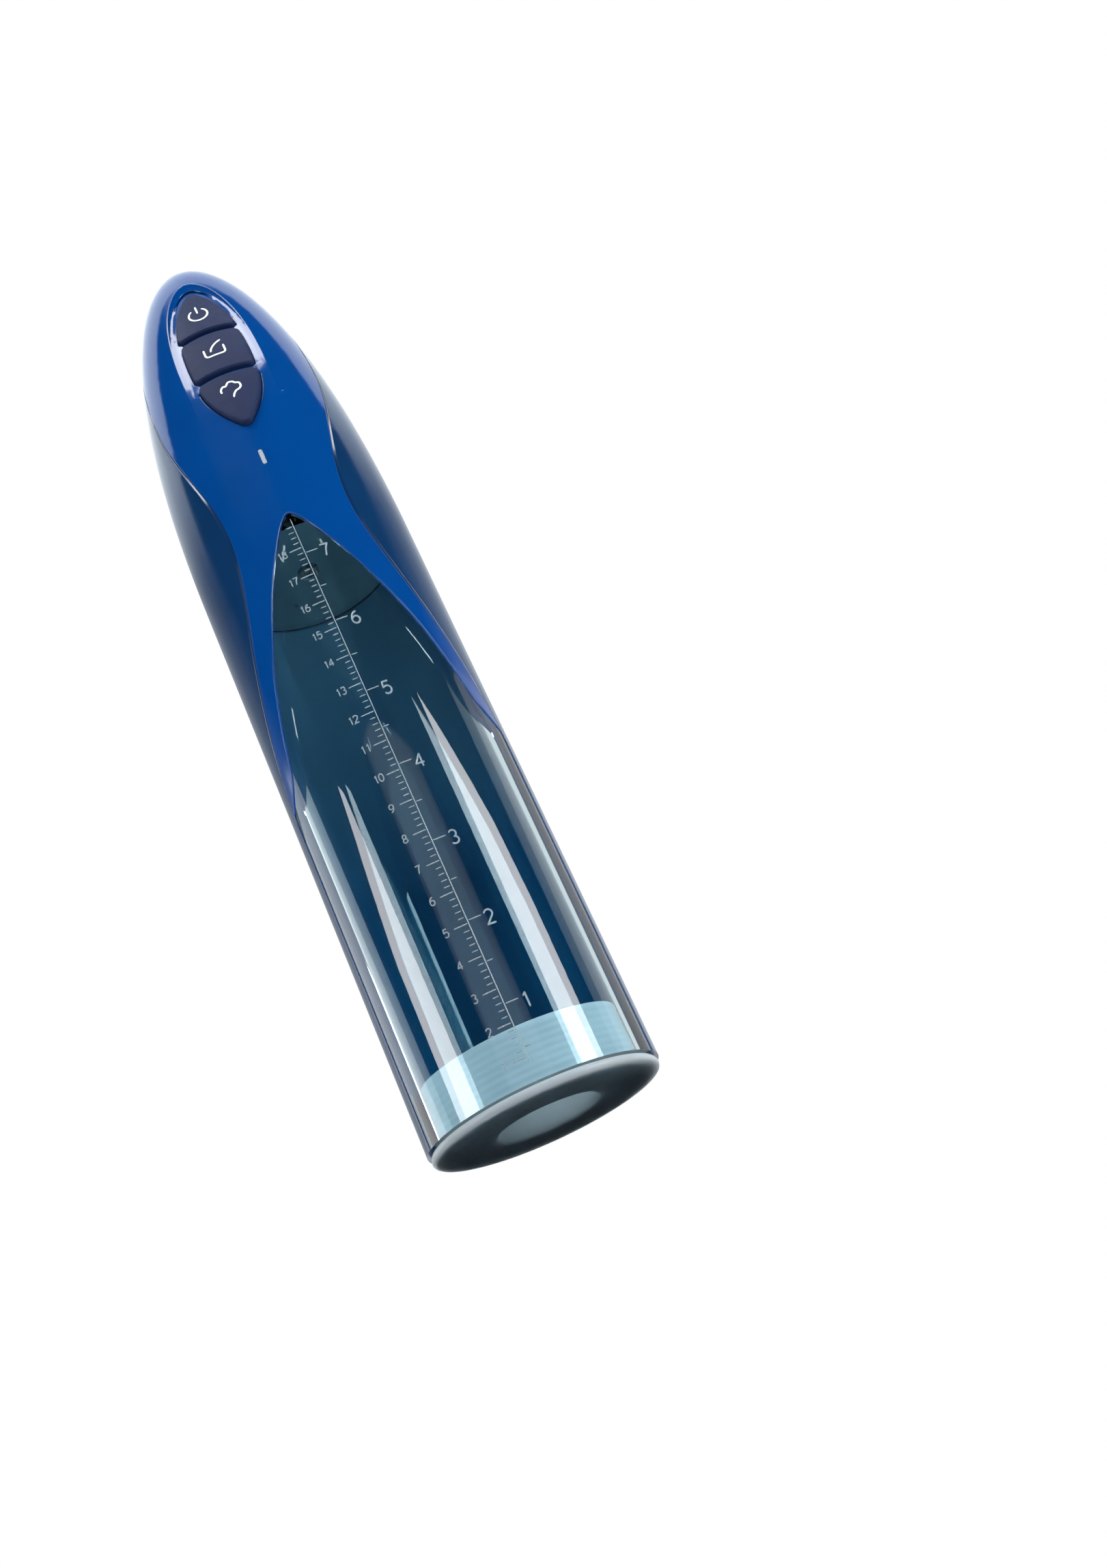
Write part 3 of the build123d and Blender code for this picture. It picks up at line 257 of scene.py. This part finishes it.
def paint_bay_shade_inside(mat):
    """Colour for the inside of a shell, seen through the cylinder: its own colour lightened, with painted
    shade low in the bay turning into painted light higher up.
    """
    n, links = mat.node_tree.nodes, mat.node_tree.links
    shader = next(node for node in n if node.type == "BSDF_PRINCIPLED")
    outside = shader.inputs["Base Color"].links[0].from_socket
    coord = n.new("ShaderNodeTexCoord")
    split = n.new("ShaderNodeSeparateXYZ")
    links.new(coord.outputs["Object"], split.inputs["Vector"])
    flat = n.new("ShaderNodeCombineXYZ")
    links.new(split.outputs["X"], flat.inputs["X"])
    links.new(split.outputs["Y"], flat.inputs["Y"])
    length = n.new("ShaderNodeVectorMath")
    length.operation = "LENGTH"
    links.new(flat.outputs["Vector"], length.inputs[0])
    outward, upward = length.outputs["Value"], split.outputs["Z"]
    shade = n.new("ShaderNodeMix")
    shade.data_type = "RGBA"
    shade.inputs["A"].default_value = BAY_PAINTED_SHADE_COLOR + (1,)
    shade.inputs["B"].default_value = BAY_PAINTED_LIGHT_COLOR + (1,)
    links.new(ramp(n, links, upward, BAY_SHADE_FROM, BAY_SHADE_TO, 0, 1), shade.inputs["Factor"])
    pick = n.new("ShaderNodeMix")
    pick.data_type = "RGBA"
    beyond = n.new("ShaderNodeMath")
    beyond.operation = "MAXIMUM"
    links.new(ramp(n, links, outward, BAY_RADIUS - 0.1 * MM, BAY_RADIUS + 0.1 * MM, 0, 1), beyond.inputs[0])
    links.new(ramp(n, links, upward, BAY_TOP - 0.5 * MM, BAY_TOP + 0.5 * MM, 0, 1), beyond.inputs[1])
    links.new(beyond.outputs["Value"], pick.inputs["Factor"])
    links.new(shade.outputs["Result"], pick.inputs["A"])
    links.new(outside, pick.inputs["B"])
    links.new(pick.outputs["Result"], shader.inputs["Base Color"])


let_light_through(FINISH["clear_plastic"])
let_light_through(FINISH["ruler_glass"])
# Painted shade and painted light on the inside of the navy shell
paint_bay_shade_inside(FINISH["shell_navy"])

slot_of = {entry["node"]: entry["material_slot"] for entry in frame["record"]["subparts"]}
for name, obj in nodes.items():
    obj.data.materials.clear()
    obj.data.materials.append(FINISH[slot_of[name]])
    for polygon in obj.data.polygons:
        polygon.use_smooth = True
    bpy.context.view_layer.objects.active = obj
    obj.select_set(True)
    bpy.ops.object.shade_smooth_by_angle(angle=math.radians(SMOOTH_ANGLE))
    obj.select_set(False)


# ---------------------------------------------------------------- mesh builders
SLOT_OF_FINISH = {"ruler_glass": "clear_plastic", "icon_white": "key_navy"}
SAME_POINT = 1e-6
TIP_WIDTH_SQUARED = 0.02        # a line's end never gets narrower than the root of this
LOOK_FROM_Y, MISSED_Y = -0.08, -0.03


def add_mesh(name, points, faces, finish, body):
    mesh = bpy.data.meshes.new(name)
    mesh.from_pydata([tuple(p) for p in points], [], faces)
    mesh.validate()
    for polygon in mesh.polygons:
        polygon.use_smooth = True
    mesh.materials.append(FINISH[finish])
    obj = bpy.data.objects.new(name, mesh)
    bpy.context.scene.collection.objects.link(obj)
    SLOT_OF_FINISH.get(finish, finish)
    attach(obj, body)
    return obj


def resample(points, step):
    """Points along a polyline, no further apart than the step."""
    out = []
    for (x0, y0), (x1, y1) in zip(points, points[1:]):
        length = math.hypot(x1 - x0, y1 - y0)
        count = max(1, int(math.ceil(length / step)))
        for i in range(count):
            t = i / count
            out.append((x0 + (x1 - x0) * t, y0 + (y1 - y0) * t))
    out.append(points[-1])
    return out


def arc(cx, cy, rx, ry, start, end, count=16):
    out = []
    for i in range(count + 1):
        angle = math.radians(start + (end - start) * i / count)
        out.append((cx + rx * math.cos(angle), cy + ry * math.sin(angle)))
    return out


def bead(points, width, profile, place, step):
    """Raised line along a flat path, with rounded ends. profile is (side, height) pairs across it; place
    puts a flat point and a height on the real surface. Returns vertices and faces."""
    path = resample(points, step)
    closed = math.hypot(path[0][0] - path[-1][0], path[0][1] - path[-1][1]) < SAME_POINT
    if closed:
        path = path[:-1]
    count = len(path)
    travelled = [0.0]
    for (x0, y0), (x1, y1) in zip(path, path[1:]):
        travelled.append(travelled[-1] + math.hypot(x1 - x0, y1 - y0))
    total = travelled[-1]
    vertices, faces = [], []
    for i, (x, y) in enumerate(path):
        ahead = path[(i + 1) % count] if closed or i + 1 < count else path[i]
        behind = path[i - 1] if closed or i > 0 else path[i]
        dx, dy = ahead[0] - behind[0], ahead[1] - behind[1]
        size = math.hypot(dx, dy) or 1.0
        nx, ny = dy / size, -dx / size
        wide = 1.0
        if not closed:
            end = min(travelled[i], total - travelled[i]) / width
            wide = math.sqrt(max(TIP_WIDTH_SQUARED, 1 - (1 - min(1, end)) ** 2))
        for side, height in profile:
            reach = side * width * wide
            vertices.append(place(x + nx * reach, y + ny * reach, height))
    across = len(profile)
    rows = count if closed else count - 1
    for i in range(rows):
        for j in range(across - 1):
            a, b = i * across + j, ((i + 1) % count) * across + j
            faces.append((a, a + 1, b + 1, b))
        a, b = i * across, ((i + 1) % count) * across
        faces.append((a + across - 1, a, b, b + across - 1))
    if not closed:
        faces.append(tuple(range(across)))
        last = (count - 1) * across
        faces.append(tuple(last + across - 1 - j for j in range(across)))
    return vertices, faces


def join(parts):
    vertices, faces = [], []
    for part_vertices, part_faces in parts:
        shift = len(vertices)
        vertices.extend(part_vertices)
        faces.extend(tuple(i + shift for i in face) for face in part_faces)
    return vertices, faces


def on_pad(x, z, height):
    """Point on the clear pad, x measured round the surface."""
    angle = x / PAD_R
    radius = (PAD_R + height) * MM
    return (radius * math.sin(angle), -radius * math.cos(angle), z * MM)


def on_node(node):
    """Placer on the front of a CAD node, found by a straight look along +Y from in front of it."""
    mesh = nodes[node].data
    tree = BVHTree.FromPolygons([v.co for v in mesh.vertices], [tuple(p.vertices) for p in mesh.polygons])

    def place(x, z, height):
        hit = tree.ray_cast(Vector((x * MM, LOOK_FROM_Y, z * MM)), Vector((0, 1, 0)))
        y = hit[0].y if hit[0] else MISSED_Y
        return (x * MM, y - height * MM, z * MM)

    return place


# ---------------------------------------------------------------- raised ruler on the clear pad
ROUND_BEAD = [(-0.5, -0.12), (-0.42, 0.12), (-0.2, 0.2), (0.2, 0.2), (0.42, 0.12), (0.5, -0.12)]
GUTTER_BEAD = [(-0.5, -0.12), (-0.45, 0.2), (-0.28, 0.22), (-0.14, 0.06), (0.14, 0.06), (0.28, 0.22),
               (0.45, 0.2), (0.5, -0.12)]
DIGITS = {
    "0": [arc(0, 0, 0.27, 0.5, 90, -270, 24)],
    "1": [[(-0.13, 0.30), (0.06, 0.5), (0.06, -0.5)]],
    "2": [arc(0, 0.22, 0.27, 0.28, 165, -35, 14) + [(-0.28, -0.5), (0.29, -0.5)]],
    "3": [arc(0, 0.25, 0.24, 0.25, 150, -90, 14), arc(0, -0.24, 0.27, 0.26, 90, -150, 14)],
    "4": [[(0.12, -0.5), (0.12, 0.5), (-0.30, -0.18), (0.30, -0.18)]],
    "5": [[(0.24, 0.5), (-0.18, 0.5), (-0.23, 0.06)] + arc(0, -0.18, 0.27, 0.32, 125, -150, 16)],
    "6": [[(0.20, 0.48), (0.0, 0.42), (-0.16, 0.26), (-0.25, 0.02)]
          + arc(0, -0.2, 0.27, 0.30, 170, -190, 22)],
    "7": [[(-0.28, 0.5), (0.30, 0.5), (0.10, 0.12), (-0.06, -0.5)]],
    "8": [arc(0, 0.25, 0.22, 0.25, -90, 270, 20), arc(0, -0.25, 0.27, 0.25, 90, -270, 20)],
    "9": [[(-0.20, -0.48), (0.0, -0.42), (0.16, -0.26), (0.25, -0.02)]
          + arc(0, 0.2, 0.27, 0.30, -10, 350, 22)],
}


def numeral(text, z, x, drop, height, width):
    """Digits centred on x and a little below z; width is that of the strokes."""
    parts = []
    z -= drop
    pitch = height * DIGIT_PITCH
    start = x - pitch * (len(text) - 1) / 2
    for i, digit in enumerate(text):
        for stroke in DIGITS[digit]:
            flat = [(start + i * pitch + px * height, z + py * height) for px, py in stroke]
            parts.append(bead(flat, width, GUTTER_BEAD, on_pad, FINE_STEP))
    return parts


def tick(start, end, z, width=LINE_WIDTH):
    return bead([(start, z), (end, z)], width, ROUND_BEAD, on_pad, TICK_POINT_STEP)


def ruler():
    """Spine with half inches on one side and 2 mm ticks on the other."""
    parts = [bead([(0, RULER_FOOT), (0, RULER_TOP)], LINE_WIDTH, ROUND_BEAD, on_pad, SPINE_STEP)]
    for half in HALF_INCHES:
        z = half * INCH / 2
        whole = half % 2 == 0
        parts.append(tick(LONG_TICK_GAP, INCH_REACH if whole else HALF_INCH_REACH, z))
        if whole:
            parts.extend(numeral(str(half // 2), z, **INCH_NUMERAL))
    for step in TICKS:
        z = step * TICK_STEP
        if step % TICKS_PER_CM == 0:
            parts.append(tick(-CM_REACH, -LONG_TICK_GAP, z))
            parts.extend(numeral(str(step // TICKS_PER_CM), z, **CM_NUMERAL))
        else:
            parts.append(tick(-TICK_REACH, -TICK_GAP, z, TICK_WIDTH))
    vertices, faces = join(parts)
    add_mesh("ruler", vertices, faces, "ruler_glass", "cylinder")


ruler()

# ---------------------------------------------------------------- white icons on the keys
ICON_WIDTH = 0.68
ICON_BEAD = [(-0.5, -0.15), (-0.5, 0.05), (-0.4, 0.08), (0.4, 0.08), (0.5, 0.05), (0.5, -0.15)]


def icon(name, node, lift, strokes):
    """Strokes on a key, drawn about a point this far above the middle of the key's box."""
    low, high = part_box(node)
    centre = (low[2] + high[2]) / 2 / MM + lift
    place = on_node(node)
    parts = []
    for stroke in strokes:
        flat = [(x, centre + z) for x, z in stroke]
        parts.append(bead(flat, ICON_WIDTH, ICON_BEAD, place, FINE_STEP))
    vertices, faces = join(parts)
    add_mesh(name, vertices, faces, "icon_white", node)


def smooth_path(points, count=10):
    """Catmull-Rom curve through the points."""
    ext = [points[0]] + points + [points[-1]]
    out = []
    for a, b, c, d in zip(ext, ext[1:], ext[2:], ext[3:]):
        for i in range(count):
            t = i / count
            out.append(tuple(
                0.5 * (2 * q + (r - p) * t + (2 * p - 5 * q + 4 * r - s) * t * t
                       + (3 * q - p - 3 * r + s) * t**3)
                for p, q, r, s in zip(a, b, c, d)))
    out.append(points[-1])
    return out


power_ring = arc(-0.2, 0, 3.15, 3.15, 58, -238, 30)
icon("icon_power", "key_power", -1.39, [power_ring, [(-0.2, 0.6), (-0.2, 4.6)]])
cup = ([(-3.6, 0.7), (-3.6, -2.1)] + arc(-2.5, -2.1, 1.1, 1.1, 180, 270, 6)
       + arc(2.0, -2.1, 1.1, 1.1, -90, 0, 6) + [(3.1, 0.6)])
drop_line = smooth_path([(2.9, 3.2), (0.7, 2.0), (-0.9, 0.3), (-1.5, -1.3)])
icon("icon_suction", "key_suction", 2.19, [cup, drop_line])
cloud = smooth_path([
    (-3.6, -0.3), (-3.6, 1.1), (-2.7, 2.2), (-1.7, 2.1), (-0.6, 3.3), (0.8, 3.1), (1.5, 2.3),
    (2.6, 1.8), (2.8, 0.3), (2.0, -0.7), (0.8, -1.2), (-0.1, -2.3), (-0.6, -3.6),
])
icon("icon_release", "key_release", 4.25, [cloud])


# ---------------------------------------------------------------- soft sleeve
SLEEVE_FACE = [
    (14.6, 1.2), (15.2, 0.45), (17.0, 0.1), (22, 0.02), (30, 0.0), (33.2, 0.12), (34.2, 0.7), (34.4, 1.5),
    (34.2, 2.4), (33.4, 2.95), (30.6, 3.0), (29.95, 3.05),
]
RIB_R, GROOVE_DEPTH, RIB_FOOT = 29.9, 0.35, 4.0
SLEEVE_RIBS = [(RIB_R - GROOVE_DEPTH * (step % 2), RIB_FOOT + step) for step in range(15)]
SLEEVE_INSIDE = [
    (29.6, 19.6), (29.0, 20.0), (28.6, 19.4), (28.2, 14.0), (27.7, 8.0), (26.6, 5.7), (24.5, 5.1),
    (20.5, 5.3), (17.6, 6.4), (16.0, 9.0), (15.6, 14.0), (15.9, 20.0), (15.6, 21.6), (15.0, 21.9),
    (14.4, 21.4), (14.1, 19.0), (14.0, 12.0), (14.05, 5.0), (14.2, 2.6),
]
SLEEVE_TURNS = 128
LIP_R, LIP_WIDTH = 14, 3.0      # the lip wavers most at this radius and not at all this far out
LIP_WAVE, LIP_LIFT = 0.18, 0.10
LIP_FOOT = 5                    # the lip's lift starts above the flange


def soft_sleeve():
    """Stretchy silicone seal: plug, rolled flange, ribbed skirt and a slightly wavy inner lip."""
    outline = SLEEVE_FACE + SLEEVE_RIBS + SLEEVE_INSIDE
    vertices, faces = [], []
    for k in range(SLEEVE_TURNS):
        angle = 2 * math.pi * k / SLEEVE_TURNS
        for radius, z in outline:
            lip = max(0.0, 1 - (radius - LIP_R) / LIP_WIDTH)
            radius += lip * LIP_WAVE * (1 + math.sin(5 * angle + 0.7) * math.cos(2 * angle))
            z += lip * LIP_LIFT * math.sin(7 * angle) * (1 if z > LIP_FOOT else 0)
            flat = radius * MM
            vertices.append((flat * math.cos(angle), flat * math.sin(angle), max(0.0, z) * MM))
    ring_size = len(outline)
    for k in range(SLEEVE_TURNS):
        for j in range(ring_size):
            a, b = k * ring_size, ((k + 1) % SLEEVE_TURNS) * ring_size
            j2 = (j + 1) % ring_size
            faces.append((a + j, b + j, b + j2, a + j2))
    obj = add_mesh("soft_sleeve", vertices, faces, "silicone", "sleeve")
    subdivision = obj.modifiers.new("soft", "SUBSURF")
    subdivision.levels = 1
    subdivision.render_levels = 1
    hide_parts("seal_sleeve")


soft_sleeve()


# ---------------------------------------------------------------- studio
def floor():
    """Pale floor that only shows from above, because the camera looks up from below it. It follows the
    sleeve, the lowest piece, so that a cylinder drawn out of the body still stands on it."""
    bpy.ops.mesh.primitive_plane_add(size=FLOOR_SIZE, location=(0, 0, -FLOOR_DROP))
    obj = bpy.context.object
    obj.name = "floor"
    mat, n, links = new_material("floor")
    out = n.new("ShaderNodeOutputMaterial")
    mix = n.new("ShaderNodeMixShader")
    diffuse = n.new("ShaderNodeBsdfDiffuse")
    diffuse.inputs["Color"].default_value = FLOOR_COLOR
    through = n.new("ShaderNodeBsdfTransparent")
    geometry = n.new("ShaderNodeNewGeometry")
    # Far out the camera sees the floor run into the white backdrop; nothing else sees that glow.
    distance = n.new("ShaderNodeVectorMath")
    distance.operation = "LENGTH"
    links.new(geometry.outputs["Position"], distance.inputs[0])
    path = n.new("ShaderNodeLightPath")
    far = n.new("ShaderNodeMath")
    far.operation = "MULTIPLY"
    links.new(ramp(n, links, distance.outputs["Value"], HAZE_FROM, HAZE_TO, 0, 1), far.inputs[0])
    links.new(path.outputs["Is Camera Ray"], far.inputs[1])
    haze = n.new("ShaderNodeEmission")
    haze.inputs["Color"].default_value = WHITE
    fade = n.new("ShaderNodeMixShader")
    links.new(far.outputs["Value"], fade.inputs["Fac"])
    links.new(diffuse.outputs["BSDF"], fade.inputs[1])
    links.new(haze.outputs["Emission"], fade.inputs[2])
    links.new(geometry.outputs["Backfacing"], mix.inputs["Fac"])
    links.new(fade.outputs["Shader"], mix.inputs[1])
    links.new(through.outputs["BSDF"], mix.inputs[2])
    links.new(mix.outputs["Shader"], out.inputs["Surface"])
    obj.data.materials.append(mat)
    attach(obj, "sleeve")


def direction(azimuth, elevation):
    """Unit vector; azimuth 0 is straight in front of the keys, positive towards +X."""
    a, e = math.radians(azimuth), math.radians(elevation)
    return Vector((math.sin(a) * math.cos(e), -math.cos(a) * math.cos(e), math.sin(e)))


PANEL_CENTRE, PANEL_DISTANCE = Vector((0, 0, 0.12)), 1.6
# Strength and corner directions (azimuth, elevation) of each softbox
SOFTBOXES = {
    "softbox_left_back": (1.8, [(-152, -6), (-96, -6), (-106, 18), (-110, 26), (-122, 26), (-146, 21)]),
    "softbox_left_edge": (5.5, [
        (-144, -6), (-134, -6), (-126, 18), (-122, 23.5), (-125, 23.8), (-134, 18),
    ]),
    "softbox_left": (9, [(-86, -6), (-56, -6), (-57, 24), (-60, 24.4), (-65, 22), (-70, 20), (-78, 16)]),
    "softbox_front": (0.5, [(-26, -6), (20, -6), (20, 24.5), (4, 26), (-20, 25.5)]),
    "softbox_right": (10, [(45, -6), (69, -6), (69, 16), (66, 20), (61, 22.4), (55, 24.6), (47, 26.8)]),
    "softbox_right_back": (0.9, [(94, -6), (150, -6), (146, 24), (120, 27), (98, 27)]),
    "softbox_right_edge": (5.0, [(114, -6), (134, -6), (133, 17), (129, 23), (124, 24.6), (121, 21)]),
    "softbox_top": (10, [
        (-78, 67), (-58, 61), (-40, 57.5), (0, 57.5), (45, 57.5), (66, 59), (66, 71), (45, 67.5),
        (0, 67), (-40, 69), (-58, 73), (-78, 78),
    ]),
}


def panel(name, strength, corners):
    """Glowing softbox that only reflections see."""
    points = [PANEL_CENTRE + direction(a, e) * PANEL_DISTANCE for a, e in corners]
    mesh = bpy.data.meshes.new(name)
    mesh.from_pydata([tuple(p) for p in points], [], [tuple(range(len(points)))])
    mat, n, links = new_material(name)
    out = n.new("ShaderNodeOutputMaterial")
    glow = n.new("ShaderNodeEmission")
    glow.inputs["Color"].default_value = WHITE
    glow.inputs["Strength"].default_value = strength
    links.new(glow.outputs["Emission"], out.inputs["Surface"])
    mesh.materials.append(mat)
    obj = bpy.data.objects.new(name, mesh)
    bpy.context.scene.collection.objects.link(obj)
    obj.visible_camera = False
    obj.visible_shadow = False
    obj.visible_diffuse = False


# What reflections see of the world. Pairs are where a ramp starts and ends.
REARWARD_SHARP, REARWARD_SOFT = (0.22, 0.29), (0.10, 0.90)      # +Y share of the level direction
HIGH_SKY, ZENITH = (0.55, 0.66), (0.93, 0.985)                  # Z of the direction
RIGHTWARD = (-0.1, 0.1)                                         # X of the direction
LOW_LEFT, LOW_MORE_RIGHT = 0.5, 0.32
HIGH_LEFT, HIGH_MORE_RIGHT = 1.6, -0.25
FRONT_LEVEL, ZENITH_LEVEL = 0.02, 0.85
COOL_WHITE = (0.86, 0.94, 1.0, 1)


def world():
    """White backdrop for the camera; reflections see a bright back, a dark front and a bright zenith."""
    scene_world = bpy.data.worlds.new("studio")
    bpy.context.scene.world = scene_world
    scene_world.use_nodes = True
    n, links = scene_world.node_tree.nodes, scene_world.node_tree.links
    n.clear()

    def math_node(operation, *values):
        node = n.new("ShaderNodeMath")
        node.operation = operation
        for socket, value in zip(node.inputs, values):
            if isinstance(value, (int, float)):
                socket.default_value = value
            else:
                links.new(value, socket)
        return node.outputs["Value"]

    out = n.new("ShaderNodeOutputWorld")
    background = n.new("ShaderNodeBackground")
    coord = n.new("ShaderNodeTexCoord")
    split = n.new("ShaderNodeSeparateXYZ")
    links.new(coord.outputs["Generated"], split.inputs["Vector"])
    x, y, z = (split.outputs[name] for name in "XYZ")
    flat = math_node("SQRT", math_node("ADD", math_node("MULTIPLY", x, x), math_node("MULTIPLY", y, y)))
    rearward = math_node("DIVIDE", y, flat)
    sharp = ramp(n, links, rearward, *REARWARD_SHARP, 0, 1)
    soft = ramp(n, links, rearward, *REARWARD_SOFT, 0, 1)
    high = ramp(n, links, z, *HIGH_SKY, 0, 1)
    to_right = ramp(n, links, x, *RIGHTWARD, 0, 1)
    low_side = math_node("MULTIPLY_ADD", to_right, LOW_MORE_RIGHT, LOW_LEFT)
    high_side = math_node("MULTIPLY_ADD", to_right, HIGH_MORE_RIGHT, HIGH_LEFT)
    low_level = math_node("MULTIPLY", soft, low_side)
    high_level = math_node("MULTIPLY", sharp, high_side)
    blend = n.new("ShaderNodeMix")
    blend.data_type = "FLOAT"
    links.new(high, blend.inputs["Factor"])
    links.new(low_level, blend.inputs["A"])
    links.new(high_level, blend.inputs["B"])
    back = math_node("MAXIMUM", blend.outputs["Result"], FRONT_LEVEL)
    zenith = ramp(n, links, z, *ZENITH, 0, ZENITH_LEVEL)
    light_path = n.new("ShaderNodeLightPath")
    pick = n.new("ShaderNodeMix")
    pick.data_type = "FLOAT"
    links.new(light_path.outputs["Is Camera Ray"], pick.inputs["Factor"])
    links.new(math_node("MAXIMUM", back, zenith), pick.inputs["A"])
    pick.inputs["B"].default_value = 1.0
    links.new(pick.outputs["Result"], background.inputs["Strength"])
    tint = n.new("ShaderNodeMix")
    tint.data_type = "RGBA"
    tint.inputs["A"].default_value = COOL_WHITE
    tint.inputs["B"].default_value = WHITE
    links.new(light_path.outputs["Is Camera Ray"], tint.inputs["Factor"])
    links.new(tint.outputs["Result"], background.inputs["Color"])
    links.new(background.outputs["Background"], out.inputs["Surface"])


LIGHT_CENTRE = Vector((0, 0, 0.18))
# Azimuth, elevation, distance, size and power
AREA_LIGHTS = {
    "key_light": (-25, 55, 1.2, 0.8, 15),
    "fill_light": (74, 10, 1.4, 1.0, 15),
    "back_light": (170, 35, 1.4, 1.0, 10),
}


def hide_from_mirrors(obj):
    obj.visible_camera = False
    obj.visible_glossy = False
    obj.visible_transmission = False


def area(name, azimuth, elevation, distance, size, power):
    light = bpy.data.lights.new(name, "AREA")
    light.size = size
    light.energy = power
    obj = bpy.data.objects.new(name, light)
    bpy.context.scene.collection.objects.link(obj)
    obj.location = LIGHT_CENTRE + direction(azimuth, elevation) * distance
    obj.rotation_euler = (LIGHT_CENTRE - obj.location).to_track_quat("-Z", "Y").to_euler()
    hide_from_mirrors(obj)


def bay_light(height, power):
    """Weak light on the axis of the cylinder bay, for light that scatters in through the clear wall."""
    light = bpy.data.lights.new("bay_light", "POINT")
    light.energy = power
    light.shadow_soft_size = BAY_LIGHT_SIZE
    obj = bpy.data.objects.new("bay_light", light)
    bpy.context.scene.collection.objects.link(obj)
    obj.location = (0, 0, height)
    hide_from_mirrors(obj)


floor()
world()
for box_name, (box_strength, box_corners) in SOFTBOXES.items():
    panel(box_name, box_strength, box_corners)
for light_name, placing in AREA_LIGHTS.items():
    area(light_name, *placing)
for bay_height, bay_power in BAY_LIGHTS:
    bay_light(bay_height, bay_power)

# ---------------------------------------------------------------- camera at the photo's viewpoint
SENSOR_WIDTH, LENS, CLIP_START = 36, 37.085, 0.01
CAMERA_PLACE = (-0.01808, -0.44704, -0.09279)
CAMERA_TURN = (114.4666, 23.7256, 2.7427)       # degrees about X, then Y, then Z

camera_data = bpy.data.cameras.new("photo_camera")
camera_data.sensor_width = SENSOR_WIDTH
camera_data.lens = LENS
camera_data.clip_start = CLIP_START
camera = bpy.data.objects.new("photo_camera", camera_data)
bpy.context.scene.collection.objects.link(camera)
turn = Euler([math.radians(angle) for angle in CAMERA_TURN])
camera.matrix_world = Matrix.LocRotScale(Vector(CAMERA_PLACE), turn, None)
bpy.context.scene.camera = camera
bpy.context.scene.view_settings.view_transform = "Standard"
